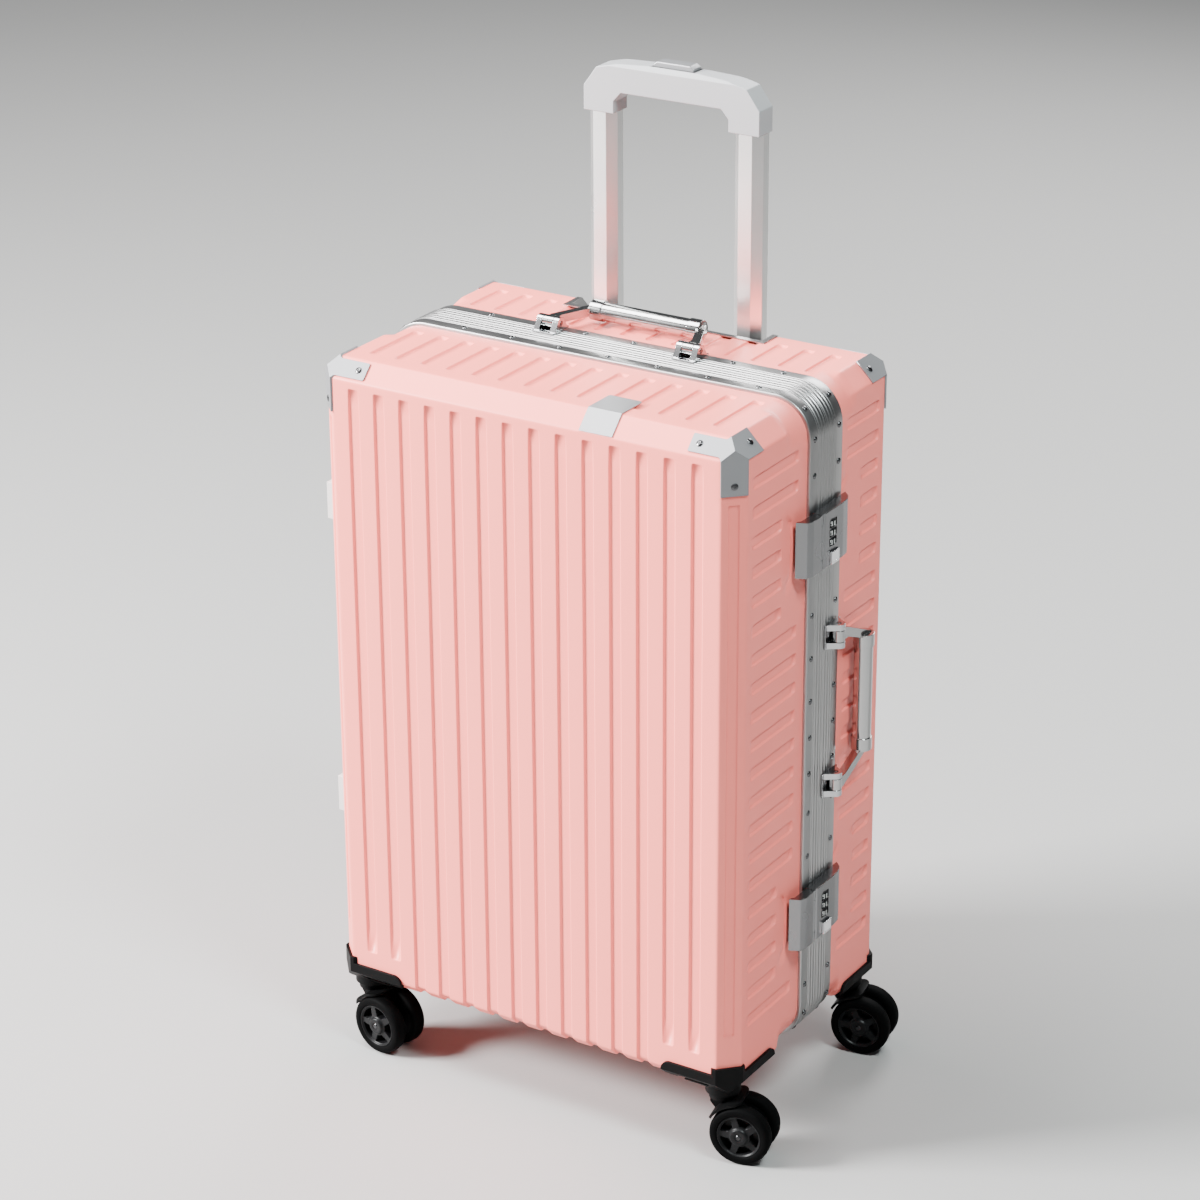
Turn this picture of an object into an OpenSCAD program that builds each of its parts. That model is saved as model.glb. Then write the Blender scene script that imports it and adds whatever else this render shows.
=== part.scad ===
/* [Case] */
// Outside width of the hard shells, left to right
case_w = 450; // [440:1:460]
// Outside depth of the closed case, front face to back face
case_d = 288; // [284:1:292]
// Height of the shells, without castors or handles
shell_h = 648; // [640:1:660]
// Height of the underside of the shells above the floor
floor_gap = 78; // [77:1:80]
// Wall thickness of the shells
wall = 3; // [3:0.1:3.4]
// Width of the sloped edges round the front and back faces
edge_cut = 17; // [15:0.5:18]
// Corner radius of the shell rims where they enter the frame
rim_r = 35; // [33:0.5:36]

/* [Grooves] */
// Spacing of the grooves
groove_pitch = 28.3; // [28:0.1:28.5]
// Width of each groove
groove_w = 11; // [9:0.5:12]
// Depth of each groove
groove_depth = 1.6; // [1:0.1:1.8]

/* [Frame] */
// Where the front and back halves of the frame meet
joint_y = 10; // [9:0.5:11]
// Depth of each half of the frame
frame_d = 30; // [28:0.5:31]
// How far the frame stands out of the shells
frame_out = 3.5; // [3:0.1:3.5]
// Height of the fine ridges along the frame
ridge = 0.8; // [0.5:0.1:0.8]

/* [Trolley] */
// Distance between the centres of the two tubes
tube_gap = 158; // [154:1:160]
// Width of each sliding tube
tube_w = 30; // [28:0.5:30]
// Depth of each sliding tube
tube_d = 20; // [18:0.5:20]
// Length of tube that shows above the shells when drawn out
tube_show = 192; // [180:1:200]

/* [Carry handles] */
// Distance from the middle of a handle to each bracket
bracket_x = 76; // [74:1:78]
// Reach of the handle from its hinge to the middle of the bar
handle_reach = 50; // [48:1:52]
// Radius of the round bar
bar_r = 9; // [8:0.5:9]
// Radius of the handle pins
handle_pin_r = 2.5; // [2:0.1:2.8]

/* [Locks] */
// Height of each lock
lock_h = 54; // [52:1:56]
// Height of the lower lock above the shells' underside
lock_low = 137; // [134:1:140]
// Height of the upper lock above the shells' underside
lock_high = 517; // [514:1:520]
// Radius of a number dial
dial_r = 6.2; // [5.8:0.1:6.2]
// Spacing of the number dials
dial_pitch = 9; // [8.8:0.1:9.2]

/* [Castors] */
// Radius of the wheels
wheel_r = 30; // [28:0.5:30]
// Width of each wheel
wheel_w = 15.5; // [14:0.5:16]
// Distance from the swivel's axis back to the axle
trail = 22; // [20:0.5:23]
// Sideways distance from the middle of the case to each swivel
stem_x = 202; // [200:0.5:203]
// Depthwise distance from the middle of the case to each swivel
stem_y = 120; // [118:0.5:121]

/* [Hidden] */
$fn = 64;

pink = [0.95, 0.74, 0.71];
silver = [0.78, 0.78, 0.79];
steel = [0.62, 0.62, 0.63];
black = [0.05, 0.05, 0.055];
cloth = [0.55, 0.47, 0.46];

half_w = case_w / 2;
face_y = -case_d / 2;          // the front face; the back face is its mirror image
base_z = floor_gap;            // underside of the shells
top_z = base_z + shell_h;
foot_cut = 10;                 // sloped edges along the bottom
gap = 0.15;                    // half the line that shows between the two frame halves
seat = frame_out + ridge;      // hardware on the frame stands on its ridges

front_rim = joint_y - 14;      // how far each shell reaches into the frame
back_rim = joint_y + 14;
front_step = -45;              // where the sloped corners end and the rounded rim begins
back_step = 58;
frame_in = 6;                  // how far the frame reaches into the case

lining_gap = 0.4;
lining_t = 1.5;
tube_y = 128;
pocket_w = 216;                // recess that takes the trolley grip
pocket_y = 104;
pocket_z = top_z - 46;
hinge_x = -half_w - 10.5;
hinge_z = [base_z + lock_low, base_z + lock_high];
lock_z = [base_z + lock_low, base_z + lock_high];
lock_out = 15.5;               // how far the locks stand out of the shells
latch_axis = [half_w + 13.6, -16.75];
dial_axis = [half_w + 10.9, 3];
handle_y = joint_y + 15;
handle_lift = 12;              // the handles' hinge lines stand this far outside the shells
side_handle_z = base_z + 334.5;
axle_r = 3;
run = 0.05;                    // running clearance on the radius
stem_r = 5;
boss_z = base_z - 10;          // underside of the castor bosses

// [side, end, angle of the trailing arm] of the castors, as the case stands
front_left = [-1, -1, -9];
front_right = [1, -1, 12];
back_left = [-1, 1, 188];
back_right = [1, 1, 10];

function cut_rect(x0, y0, x1, y1, low, high) = [
    [x0 + low, y0], [x1 - low, y0], [x1, y0 + low], [x1, y1 - high],
    [x1 - high, y1], [x0 + high, y1], [x0, y1 - high], [x0, y0 + low]
];
function groove_x(i) = (i - 6.5) * groove_pitch;
function groove_z(i) = top_z - 43.5 - i * groove_pitch;
function by_lock(z) = min([for (l = lock_z) abs(z - l + 11)]) < 58;

module along_y(y0, y1) { translate([0, y1, 0]) rotate([90, 0, 0]) linear_extrude(y1 - y0) children(); }
module along_x(x0, x1) { translate([x0, 0, 0]) rotate([90, 0, 90]) linear_extrude(x1 - x0) children(); }
module along_z(z0, z1) { translate([0, 0, z0]) linear_extrude(z1 - z0) children(); }
module block(x, y, z) { translate([x[0], y[0], z[0]]) cube([x[1] - x[0], y[1] - y[0], z[1] - z[0]]); }
module back() { mirror([0, 1, 0]) children(); }
module sides() { for (s = [0, 1]) mirror([s, 0, 0]) children(); }

// Rounded rectangle round the rim, grown by d all round
module rim_outline(d) {
    r = rim_r + d;
    x = half_w - rim_r;
    z0 = base_z + rim_r;
    z1 = top_z - rim_r;
    translate([-x, z0 - r]) square([2 * x, z1 - z0 + 2 * r]);
    translate([-x - r, z0]) square([2 * x + 2 * r, z1 - z0]);
    for (px = [-x, x], pz = [z0, z1]) translate([px, pz]) circle(r);
}

// Solid form of the half whose face is towards -Y, grown by d on every outer side
module half_form(d, face, step, rim) {
    c = edge_cut + d * (2 - sqrt(2));
    f = foot_cut + d * (2 - sqrt(2));
    w = half_w + d;
    z0 = base_z - d;
    z1 = top_z + d;
    y0 = face - d;
    intersection() {
        along_y(y0, step) polygon(cut_rect(-w, z0, w, z1, f, c));
        along_z(z0, z1) polygon([
            [-w, rim], [-w, y0 + c], [c - w, y0], [w - c, y0], [w, y0 + c], [w, rim]
        ]);
        along_x(-w, w) polygon([
            [rim, z0], [y0 + f, z0], [y0, z0 + f], [y0, z1 - c], [y0 + c, z1], [rim, z1]
        ]);
    }
    along_y(step, rim) rim_outline(d);
}

// Grooves of the half whose face is towards -Y; its sides' grooves run from long_y or lock_y to end_y
module grooves(end_y, long_y, lock_y) {
    g = groove_w / 2;
    for (i = [0:13]) {
        runs_out = i > 1 && i < 12;
        x = groove_x(i);
        z0 = runs_out ? base_z - 1 : base_z + 35;
        block([x - g, x + g], [face_y - groove_depth, face_y + groove_depth], [z0, top_z - 24.5]);
        block([x - g, x + g], [end_y + 8, long_y], [top_z - groove_depth, top_z + groove_depth]);
        if (runs_out)
            block([x - g, x + g], [face_y - 1, long_y], [base_z - groove_depth, base_z + groove_depth]);
    }
    for (i = [0:19]) {
        z = groove_z(i);
        right_y = by_lock(z) ? lock_y : long_y;
        block([half_w - groove_depth, half_w + 1], [end_y, right_y], [z - g, z + g]);
        block([-half_w - 1, groove_depth - half_w], [end_y, long_y], [z - g, z + g]);
    }
    sides() translate([half_w - edge_cut / 2, face_y + edge_cut / 2, 0]) rotate([0, 0, 45])
        block([-4.5, 4.5], [-1, 1], [base_z + 58, base_z + 589]);
}

module half_shell(step, rim, long_y, lock_y) {
    difference() {
        half_form(0, face_y, step, rim);
        half_form(-wall, face_y, step, rim + 1);
        grooves(face_y + 27, long_y, lock_y);
    }
}

module front_shell() { color(pink) half_shell(front_step, front_rim, -35, -64); }

module back_shell() {
    color(pink) difference() {
        back() half_shell(-back_step, -back_rim, -56, -84);
        block([-pocket_w / 2 - 0.2, pocket_w / 2 + 0.2], [pocket_y - 0.2, 150], [pocket_z - 0.2, top_z + 2]);
    }
}

// A ring that follows the rim, from inner to outer, both measured outwards from the shell
module rim_ring(y0, y1, inner, outer) {
    along_y(y0, y1) difference() {
        rim_outline(outer);
        rim_outline(inner);
    }
}

module frame_half(y0, y1, rim0, rim1, ridges) {
    rim_ring(y0, y1, 0, frame_out);
    rim_ring(rim0, rim1, -frame_in, 0.01);
    for (y = ridges) rim_ring(y - 0.8, y + 0.8, frame_out - 0.01, seat);
}

module front_frame() {
    color(silver) frame_half(joint_y - frame_d, joint_y - gap, front_rim + 0.05, joint_y - gap,
        [joint_y - 13, joint_y - 8, joint_y - 3]);
}

module back_frame() {
    color(silver) difference() {
        frame_half(joint_y + gap, joint_y + frame_d, joint_y + gap, back_rim - 0.05,
            [joint_y + 3, joint_y + 8, joint_y + 13]);
        rim_ring(joint_y, joint_y + 3, -4, -2);
    }
}

module frame_seal() { color(black) rim_ring(joint_y + 0.02, joint_y + 2.95, -3.95, -2.05); }

// Heads of the rivets along one half of the frame, at depth y, leaving out those under hardware
module rivets(y, under_brackets) {
    side_z = [27, 58, 195, 240, 281, 318, 355, 398, 441, 578, 613];
    for (i = [0:6]) {
        x = (i - 3) * 53 + 11;
        if (!(under_brackets && abs(abs(x) - bracket_x) < 17))
            translate([x, y, top_z + frame_out]) cylinder(r = 2.2, h = 1);
        translate([x, y, base_z - frame_out - 1]) cylinder(r = 2.2, h = 1);
    }
    sides() for (z = side_z) {
        hinge_near = min([for (h = hinge_z) abs(base_z + z - h)]) < 33;
        bracket_near = under_brackets && abs(abs(base_z + z - side_handle_z) - bracket_x) < 17;
        if (!hinge_near && !bracket_near)
            translate([half_w + frame_out, y, base_z + z]) rotate([0, 90, 0]) cylinder(r = 2.2, h = 1);
    }
    for (a = [45:90:315])
        translate([sign(cos(a)) * (half_w - rim_r), y, sin(a) > 0 ? top_z - rim_r : base_z + rim_r])
            rotate([0, 90 - a, 0]) translate([0, 0, rim_r + frame_out]) cylinder(r = 2.2, h = 1);
}

// Metal plates over the three sloped edges that meet at each top corner of a half
guard_t = 1.5;
module guards() {
    c = edge_cut / sqrt(2) + 0.6;
    intersection() {
        difference() {
            half_form(guard_t, face_y, front_step, front_rim);
            half_form(0, face_y, front_step, front_rim);
        }
        sides() union() {
            translate([half_w - edge_cut / 2, face_y + edge_cut / 2, 0]) rotate([0, 0, 45])
                block([-c, c], [-9, 9], [top_z - 50, top_z]);
            translate([0, face_y + edge_cut / 2, top_z - edge_cut / 2]) rotate([45, 0, 0])
                block([half_w - 52, half_w], [-9, 9], [-c, c]);
            translate([half_w - edge_cut / 2, 0, top_z - edge_cut / 2]) rotate([0, 45, 0])
                block([-c, c], [face_y, face_y + 43], [-9, 9]);
        }
    }
}

module guard_screws() {
    sides() {
        translate([half_w - edge_cut / 2, face_y + edge_cut / 2, top_z - 41]) rotate([90, 0, 45])
            translate([0, 0, guard_t]) cylinder(r = 3.2, h = 1.2);
        translate([half_w - 43, face_y + edge_cut / 2, top_z - edge_cut / 2]) rotate([45, 0, 0])
            translate([0, 0, guard_t]) cylinder(r = 3.2, h = 1.2);
        translate([half_w - edge_cut / 2, face_y + 34, top_z - edge_cut / 2]) rotate([0, 45, 0])
            translate([0, 0, guard_t]) cylinder(r = 3.2, h = 1.2);
    }
}

module front_corner_guards() { color(steel) guards(); }
module back_corner_guards() { color(steel) back() guards(); }

module front_rivets_and_screws() {
    color(steel) {
        rivets(joint_y - 22, false);
        guard_screws();
    }
}

module back_rivets_and_screws() {
    color(steel) {
        rivets(joint_y + 23, true);
        back() guard_screws();
    }
}

module name_plate() {
    color(steel) intersection() {
        difference() {
            half_form(1.2, face_y, front_step, front_rim);
            half_form(0, face_y, front_step, front_rim);
        }
        block([62, 97], [face_y - 2, -92], [top_z - 16, top_z + 3]);
    }
}

module lining(face, step, rim) {
    in1 = wall + lining_gap;
    difference() {
        half_form(-in1, face, step, rim);
        half_form(-in1 - lining_t, face, step, rim + 1);
    }
}

module front_lining() { color(cloth) lining(face_y, front_step, front_rim - 1); }

lining_back = 116;
module back_lining() {
    color(cloth) difference() {
        back() lining(-lining_back, -back_step, -back_rim - 1);
        block([-pocket_w / 2 - 3, pocket_w / 2 + 3], [pocket_y - 3, 150], [pocket_z - 3, top_z]);
    }
}

strap_y = lining_back - wall - lining_gap - lining_t - 1.4;
module packing_straps() {
    x = 186;
    z0 = base_z + 90;
    z1 = base_z + 510;
    color(black) along_y(strap_y, strap_y + 1.3) {
        polygon([[-x, z0 - 16], [-x, z0 + 16], [x, z1 + 16], [x, z1 - 16]]);
        polygon([[x, z0 - 16], [x, z0 + 16], [-x, z1 + 16], [-x, z1 - 16]]);
    }
}

module strap_buckle() {
    z = base_z + 300;
    color(black) along_y(strap_y - 9, strap_y - 0.1) polygon([
        [-22, z - 18], [-14, z - 32], [14, z - 32], [22, z - 18],
        [22, z + 18], [14, z + 32], [-14, z + 32], [-22, z + 18]
    ]);
}

// Outline of a tube: wide bevels to the front, small ones to the back
module tube_outline(grow) {
    w = tube_w / 2 + grow;
    d = tube_d / 2 + grow;
    c = 8;
    polygon([
        [c - w, -d], [w - c, -d], [w, c - d], [w, d - 2], [w - 2, d], [2 - w, d], [-w, d - 2], [-w, c - d]
    ]);
}

module at_tubes() { for (s = [-1, 1]) translate([s * tube_gap / 2, tube_y, 0]) children(); }

module trolley_bezel() {
    p = pocket_w / 2;
    t = 2.5;
    color(silver) difference() {
        intersection() {
            union() {
                block([-p, p], [pocket_y, 150], [pocket_z, top_z + 1]);
                block([-p - 3, p + 3], [pocket_y - 3, 150], [top_z, top_z + 1]);
            }
            back() half_form(1, face_y, -back_step, -back_rim);
        }
        block([t - p, p - t], [pocket_y + t, 160], [pocket_z + t, top_z + 2]);
        block([-p - 4, -p + 0.01], [pocket_y - 4, 160], [top_z - 30, top_z]);
        block([p - 0.01, p + 4], [pocket_y - 4, 160], [top_z - 30, top_z]);
        at_tubes() along_z(pocket_z - 1, pocket_z + t + 1) tube_outline(0.45);
    }
}

module trolley_outer_tubes() {
    color(silver) at_tubes() along_z(base_z + 30, pocket_z - 0.3) difference() {
        tube_outline(1.75);
        tube_outline(0.45);
    }
}

grip_z = top_z + tube_show;
module trolley_inner_tubes() {
    color(silver) at_tubes() along_z(pocket_z - 62, grip_z) difference() {
        tube_outline(0);
        tube_outline(-1.6);
    }
}

// Grip outline as seen from the front, with the opening for the hand below the bar
grip_half = 95;
grip_top = 50;
module trolley_grip() {
    color([0.72, 0.72, 0.73]) difference() {
        intersection() {
            along_y(tube_y - 14, tube_y + 14) translate([0, grip_z]) difference() {
                polygon([
                    [-grip_half, 0.1], [-grip_half, 24], [-grip_half + 14, 43], [-60, 48], [-26, grip_top],
                    [26, grip_top], [60, 48], [grip_half - 14, 43], [grip_half, 24], [grip_half, 0.1]
                ]);
                polygon([[-62, 0], [-62, 12], [-54, 21], [54, 21], [62, 12], [62, 0]]);
            }
            along_x(-100, 100) translate([tube_y, grip_z]) polygon(cut_rect(-12.5, 0, 12.5, 51, 0.01, 5));
        }
        block([-22.5, 22.5], [tube_y - 7.5, tube_y + 7.5], [grip_z + 38, grip_z + 60]);
    }
}

module trolley_button() {
    color(steel) along_y(tube_y - 7.1, tube_y + 7.1) translate([0, grip_z]) polygon([
        [-22, 42.5], [22, 42.5], [22, 52], [18, 55], [-18, 55], [-22, 52]
    ]);
}

// A carry handle: its hinge line is the local X axis, and the bar lies towards local +Y
module carry_handle() {
    e = 5.6;
    color(silver) difference() {
        union() {
            translate([0, handle_reach, 0]) rotate([0, 90, 0]) cylinder(r = bar_r, h = 100, center = true);
            sides() {
                translate([47, handle_reach, 0]) rotate([0, 90, 0]) cylinder(r = bar_r + 1, h = 13);
                translate([bracket_x - e, 0, 0]) rotate([0, 90, 0]) cylinder(r = 6, h = 2 * e);
                along_z(-4, 4) polygon([
                    [bracket_x + e, 0], [bracket_x + e, 9], [60, handle_reach + 7], [48, handle_reach + 7],
                    [48, handle_reach - 6], [58, handle_reach - 9], [bracket_x - e, 12], [bracket_x - e, 0]
                ]);
            }
        }
        rotate([0, 90, 0]) cylinder(r = handle_pin_r + run, h = 4 * bracket_x, center = true);
    }
}

module carry_brackets() {
    low = seat - handle_lift;
    color(silver) sides() difference() {
        union() {
            block([bracket_x - 12, bracket_x + 12], [-14, 14], [low, low + 1.3]);
            for (x = [bracket_x - 12, bracket_x + 6]) {
                translate([x, 0, 0]) rotate([0, 90, 0]) cylinder(r = 6, h = 6);
                along_x(x, x + 6) polygon([[-12, low], [12, low], [5.5, 2], [-5.5, 2]]);
            }
        }
        rotate([0, 90, 0]) cylinder(r = handle_pin_r + 0.02, h = 4 * bracket_x, center = true);
    }
}

module at_top_handle() { translate([0, handle_y, top_z + handle_lift]) children(); }
module at_side_handle() {
    translate([half_w + handle_lift, handle_y, side_handle_z]) rotate([0, 90, 0]) children();
}
module top_handle() { at_top_handle() carry_handle(); }
module side_handle() { at_side_handle() carry_handle(); }
module top_handle_brackets() { at_top_handle() carry_brackets(); }
module side_handle_brackets() { at_side_handle() carry_brackets(); }

module bracket_pins() {
    sides() translate([bracket_x - 12.5, 0, 0]) rotate([0, 90, 0]) cylinder(r = handle_pin_r, h = 25);
}
module handle_pins() {
    color(steel) {
        at_top_handle() bracket_pins();
        at_side_handle() bracket_pins();
    }
}

// Lock: a base on the back half holds the dials and the button, and a latch folds over the front half
knuckle_r = 1.9;
knuckle_h = 17;
dial_h = 7.4;
function dial_z(i) = 13.5 - dial_pitch * i;
module lock_knuckle(r) { translate(latch_axis) circle(r, $fn = 32); }

module lock_base() {
    x0 = half_w + seat;
    x1 = half_w + lock_out;
    h = lock_h / 2;
    difference() {
        union() {
            along_z(-h, h) polygon([
                [x0, -16.5], [half_w + 11, -16.5], [x1, -12], [x1, 22], [x1 - 1.2, 32], [x1 - 5, 40],
                [x1 - 10, 45], [x0, 45]
            ]);
            for (s = [-h, knuckle_h + 0.2]) along_z(s, s + h - knuckle_h - 0.2) {
                lock_knuckle(knuckle_r);
                polygon([
                    [half_w + 11.2, -16.45], latch_axis, [latch_axis[0] + 1.3, latch_axis[1] + 1.35],
                    [half_w + 14, -12.5]
                ]);
            }
        }
        along_z(-knuckle_h, knuckle_h) lock_knuckle(knuckle_r + 0.3);
        along_z(-h - 1, h + 1) lock_knuckle(0.92);
        for (i = [0:2]) block([x0 - 1, x1 + 1], [dial_axis[1] - dial_r - 0.5, dial_axis[1] + dial_r + 0.5],
            [dial_z(i) - dial_h / 2 - 0.2, dial_z(i) + dial_h / 2 + 0.2]);
        along_z(-11, 20) translate(dial_axis) circle(1.52);
        block([x0 - 1, x1 + 1], [-3, 12], [-26, -13]);
    }
}

module lock_latch() {
    x1 = half_w + lock_out;
    x0 = half_w + seat + 1.5;
    h = lock_h / 2;
    color(steel) difference() {
        union() {
            along_z(-h, h) polygon([
                [x0, -17], [half_w + 12.5, -17], [x1, -19.4], [x1, -33.7], [x1 - 2.5, -40.7],
                [half_w + 3.2, -45], [half_w + 3.2, -42], [x0, -39]
            ]);
            along_z(-knuckle_h + 0.2, knuckle_h - 0.2) lock_knuckle(knuckle_r);
        }
        for (s = [-h - 1, knuckle_h]) along_z(s, s + h + 1 - knuckle_h) lock_knuckle(knuckle_r + 0.3);
        along_z(-h - 1, h + 1) lock_knuckle(0.9 + run);
    }
}

module lock_button() {
    color(silver) difference() {
        block([half_w + 7, half_w + 18], [-2.6, 11.6], [-25.6, -13.4]);
        for (y = [1, 4.5, 8]) block([half_w + 17.5, half_w + 19], [y - 0.5, y + 0.5], [-24, -15]);
    }
}

module dial() {
    color(black) translate(dial_axis) difference() {
        cylinder(r = dial_r, h = dial_h, center = true);
        cylinder(r = 1.5 + run, h = 20, center = true);
        for (a = [18:36:342])
            rotate([0, 0, a]) translate([dial_r, 0, 0]) cylinder(r = 0.5, h = 20, center = true);
    }
}

module at_lock(i) { translate([0, 0, lock_z[i]]) children(); }
module lock_bases() { color(steel) for (i = [0, 1]) at_lock(i) lock_base(); }
module lock_pins() {
    color(steel) for (i = [0, 1]) at_lock(i) {
        along_z(-lock_h / 2, lock_h / 2) lock_knuckle(0.9);
        along_z(-10.5, 19.5) translate(dial_axis) circle(1.5);
    }
}
module lock_keepers() {
    x = half_w + frame_out;
    color(steel) for (z = lock_z) block([x, x + ridge], [joint_y - 28, joint_y - 15], [z - 18, z + 18]);
}

// Case hinges on the left side: the leaves' knuckles take turns along the pin
hinge_h = 60;
knuckles = 5;
module hinge_leaf(s, own) {
    x0 = -half_w - seat;
    h = hinge_h / knuckles;
    for (z = hinge_z) translate([0, joint_y, z - hinge_h / 2]) mirror([0, s, 0]) difference() {
        union() {
            block([x0 - 3, x0], [5.5, 25], [0, hinge_h]);
            for (k = own) {
                block([x0 - 3, x0], [0.3, 6], [k * h + 0.2, (k + 1) * h - 0.2]);
                translate([hinge_x, 0, k * h + 0.2]) cylinder(r = 4, h = h - 0.4);
            }
        }
        translate([hinge_x, 0, -1]) cylinder(r = 2 + run, h = hinge_h + 2);
    }
}

module back_hinge_leaves() { color(steel) hinge_leaf(0, [0, 2, 4]); }
module front_hinge_leaves() { color(steel) hinge_leaf(1, [1, 3]); }
module hinge_pins() {
    color(steel) for (z = hinge_z)
        translate([hinge_x, joint_y, z - hinge_h / 2 - 0.5]) cylinder(r = 2, h = hinge_h + 1);
}

module side_feet() {
    color([0.9, 0.9, 0.88]) for (z = [190, 498]) translate([-half_w, 0, base_z + z]) {
        block([-8, 0], [-124, -96], [-18.5, 18.5]);
        block([-9, -8], [-121, -99], [-16, 16]);
    }
}
module front_side_feet() { side_feet(); }
module back_side_feet() { back() side_feet(); }

// Castor housing under the front right corner: arms along both faces, a plate below and a boss for the stem
module castor_housing() {
    arm = 9;
    difference() {
        union() {
            intersection() {
                difference() {
                    half_form(3, face_y, front_step, front_rim);
                    half_form(0, face_y, front_step, front_rim);
                }
                union() {
                    block([158, 240], [-160, face_y + 1], [base_z - 4, base_z + 18]);
                    translate([158, -150, base_z + arm]) rotate([90, 0, 0])
                        cylinder(r = arm, h = 20, center = true);
                    block([half_w - 1, 240], [-160, -76], [base_z - 4, base_z + 18]);
                    translate([half_w + 2, -76, base_z + arm]) rotate([0, 90, 0])
                        cylinder(r = arm, h = 6, center = true);
                    translate([half_w - 8.5, face_y + 8.5, 0]) rotate([0, 0, 45])
                        block([-16, 16], [-16, 16], [base_z - 4, base_z + 25]);
                    block([170, 240], [-160, -85], [base_z - 4, base_z]);
                }
            }
            translate([stem_x, -stem_y, boss_z]) cylinder(r = 17, h = 10 - 0.01);
        }
        translate([stem_x, -stem_y, boss_z - 1]) cylinder(r = stem_r + run, h = 10);
    }
}
module front_castor_housings() { color(black) sides() castor_housing(); }
module back_castor_housings() { color(black) back() sides() castor_housing(); }

module at_castor(c) { translate([c[0] * stem_x, c[1] * stem_y, 0]) rotate([0, 0, c[2]]) children(); }

// Castor fork: stem, head, middle web down to the axle and a guard over the wheels
module fork(c) {
    head = boss_z - 0.5;
    color(black) at_castor(c) difference() {
        union() {
            cylinder_at(stem_r, boss_z + 8.5, head - 1);
            cylinder_at(13.5, head, head - 6);
            along_y(-5.5, 5.5) polygon([
                [-11, head - 1], [10, head - 1], [trail + 9, wheel_r + 8], [trail + 9, wheel_r - 6],
                [trail - 6, wheel_r - 9], [trail - 16, wheel_r + 4], [-11, head - 12]
            ]);
            intersection() {
                translate([trail, 0, wheel_r]) rotate([90, 0, 0]) difference() {
                    cylinder(r = wheel_r + 4, h = 40, center = true);
                    cylinder(r = wheel_r + 1.5, h = 50, center = true);
                }
                block([-11, trail], [-20, 20], [wheel_r + 14, head - 0.5]);
            }
        }
        translate([trail, 0, wheel_r]) rotate([90, 0, 0]) cylinder(r = axle_r + 0.02, h = 60, center = true);
    }
}
module cylinder_at(r, z1, z0) { translate([0, 0, z0]) cylinder(r = r, h = z1 - z0); }

module axle(c) {
    color(steel) at_castor(c) translate([trail, 0, wheel_r]) rotate([90, 0, 0])
        cylinder(r = axle_r, h = 2 * wheel_w + 12, center = true);
}

// Wheel a is towards the front of the castor's own axle line, wheel b behind it
module wheel(c, side) {
    inner = 6;
    color(black) at_castor(c)
        translate([trail, side * inner, wheel_r]) rotate([side * -90, 0, 0]) difference() {
        union() {
            translate([0, 0, 1.5]) cylinder(r = wheel_r, h = wheel_w - 4);
            cylinder(r = wheel_r - 1.5, h = wheel_w - 1);
            cylinder(r = 8, h = wheel_w);
        }
        cylinder(r = axle_r + run, h = 3 * wheel_w, center = true);
        difference() {
            translate([0, 0, wheel_w - 3]) cylinder(r = 21, h = 5);
            translate([0, 0, wheel_w - 4]) cylinder(r = 8, h = 7);
        }
        for (a = [0:72:288]) rotate([0, 0, a]) translate([14.5, 0, wheel_w - 9]) cylinder(r = 4.6, h = 12);
    }
}

back_shell();
back_frame();
frame_seal();
back_rivets_and_screws();
back_corner_guards();
back_lining();
packing_straps();
strap_buckle();
trolley_bezel();
trolley_outer_tubes();
top_handle_brackets();
side_handle_brackets();
handle_pins();
lock_bases();
lock_pins();
back_hinge_leaves();
hinge_pins();
back_castor_housings();
back_side_feet();
front_shell();
front_frame();
front_rivets_and_screws();
front_corner_guards();
name_plate();
front_lining();
lock_keepers();
front_hinge_leaves();
front_castor_housings();
front_side_feet();
trolley_inner_tubes();
trolley_grip();
trolley_button();
top_handle();
side_handle();
at_lock(1) lock_latch();  // upper_lock_latch
at_lock(0) lock_latch();  // lower_lock_latch
at_lock(1) lock_button();  // upper_lock_button
at_lock(0) lock_button();  // lower_lock_button
at_lock(1) translate([0, 0, dial_z(0)]) dial();  // upper_dial_1
at_lock(1) translate([0, 0, dial_z(1)]) dial();  // upper_dial_2
at_lock(1) translate([0, 0, dial_z(2)]) dial();  // upper_dial_3
at_lock(0) translate([0, 0, dial_z(0)]) dial();  // lower_dial_1
at_lock(0) translate([0, 0, dial_z(1)]) dial();  // lower_dial_2
at_lock(0) translate([0, 0, dial_z(2)]) dial();  // lower_dial_3
fork(front_left);  // front_left_fork
fork(front_right);  // front_right_fork
fork(back_left);  // back_left_fork
fork(back_right);  // back_right_fork
axle(front_left);  // front_left_axle
axle(front_right);  // front_right_axle
axle(back_left);  // back_left_axle
axle(back_right);  // back_right_axle
wheel(front_left, -1);  // front_left_wheel_a
wheel(front_left, 1);  // front_left_wheel_b
wheel(front_right, -1);  // front_right_wheel_a
wheel(front_right, 1);  // front_right_wheel_b
wheel(back_left, -1);  // back_left_wheel_a
wheel(back_left, 1);  // back_left_wheel_b
wheel(back_right, -1);  // back_right_wheel_a
wheel(back_right, 1);  // back_right_wheel_b
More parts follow.
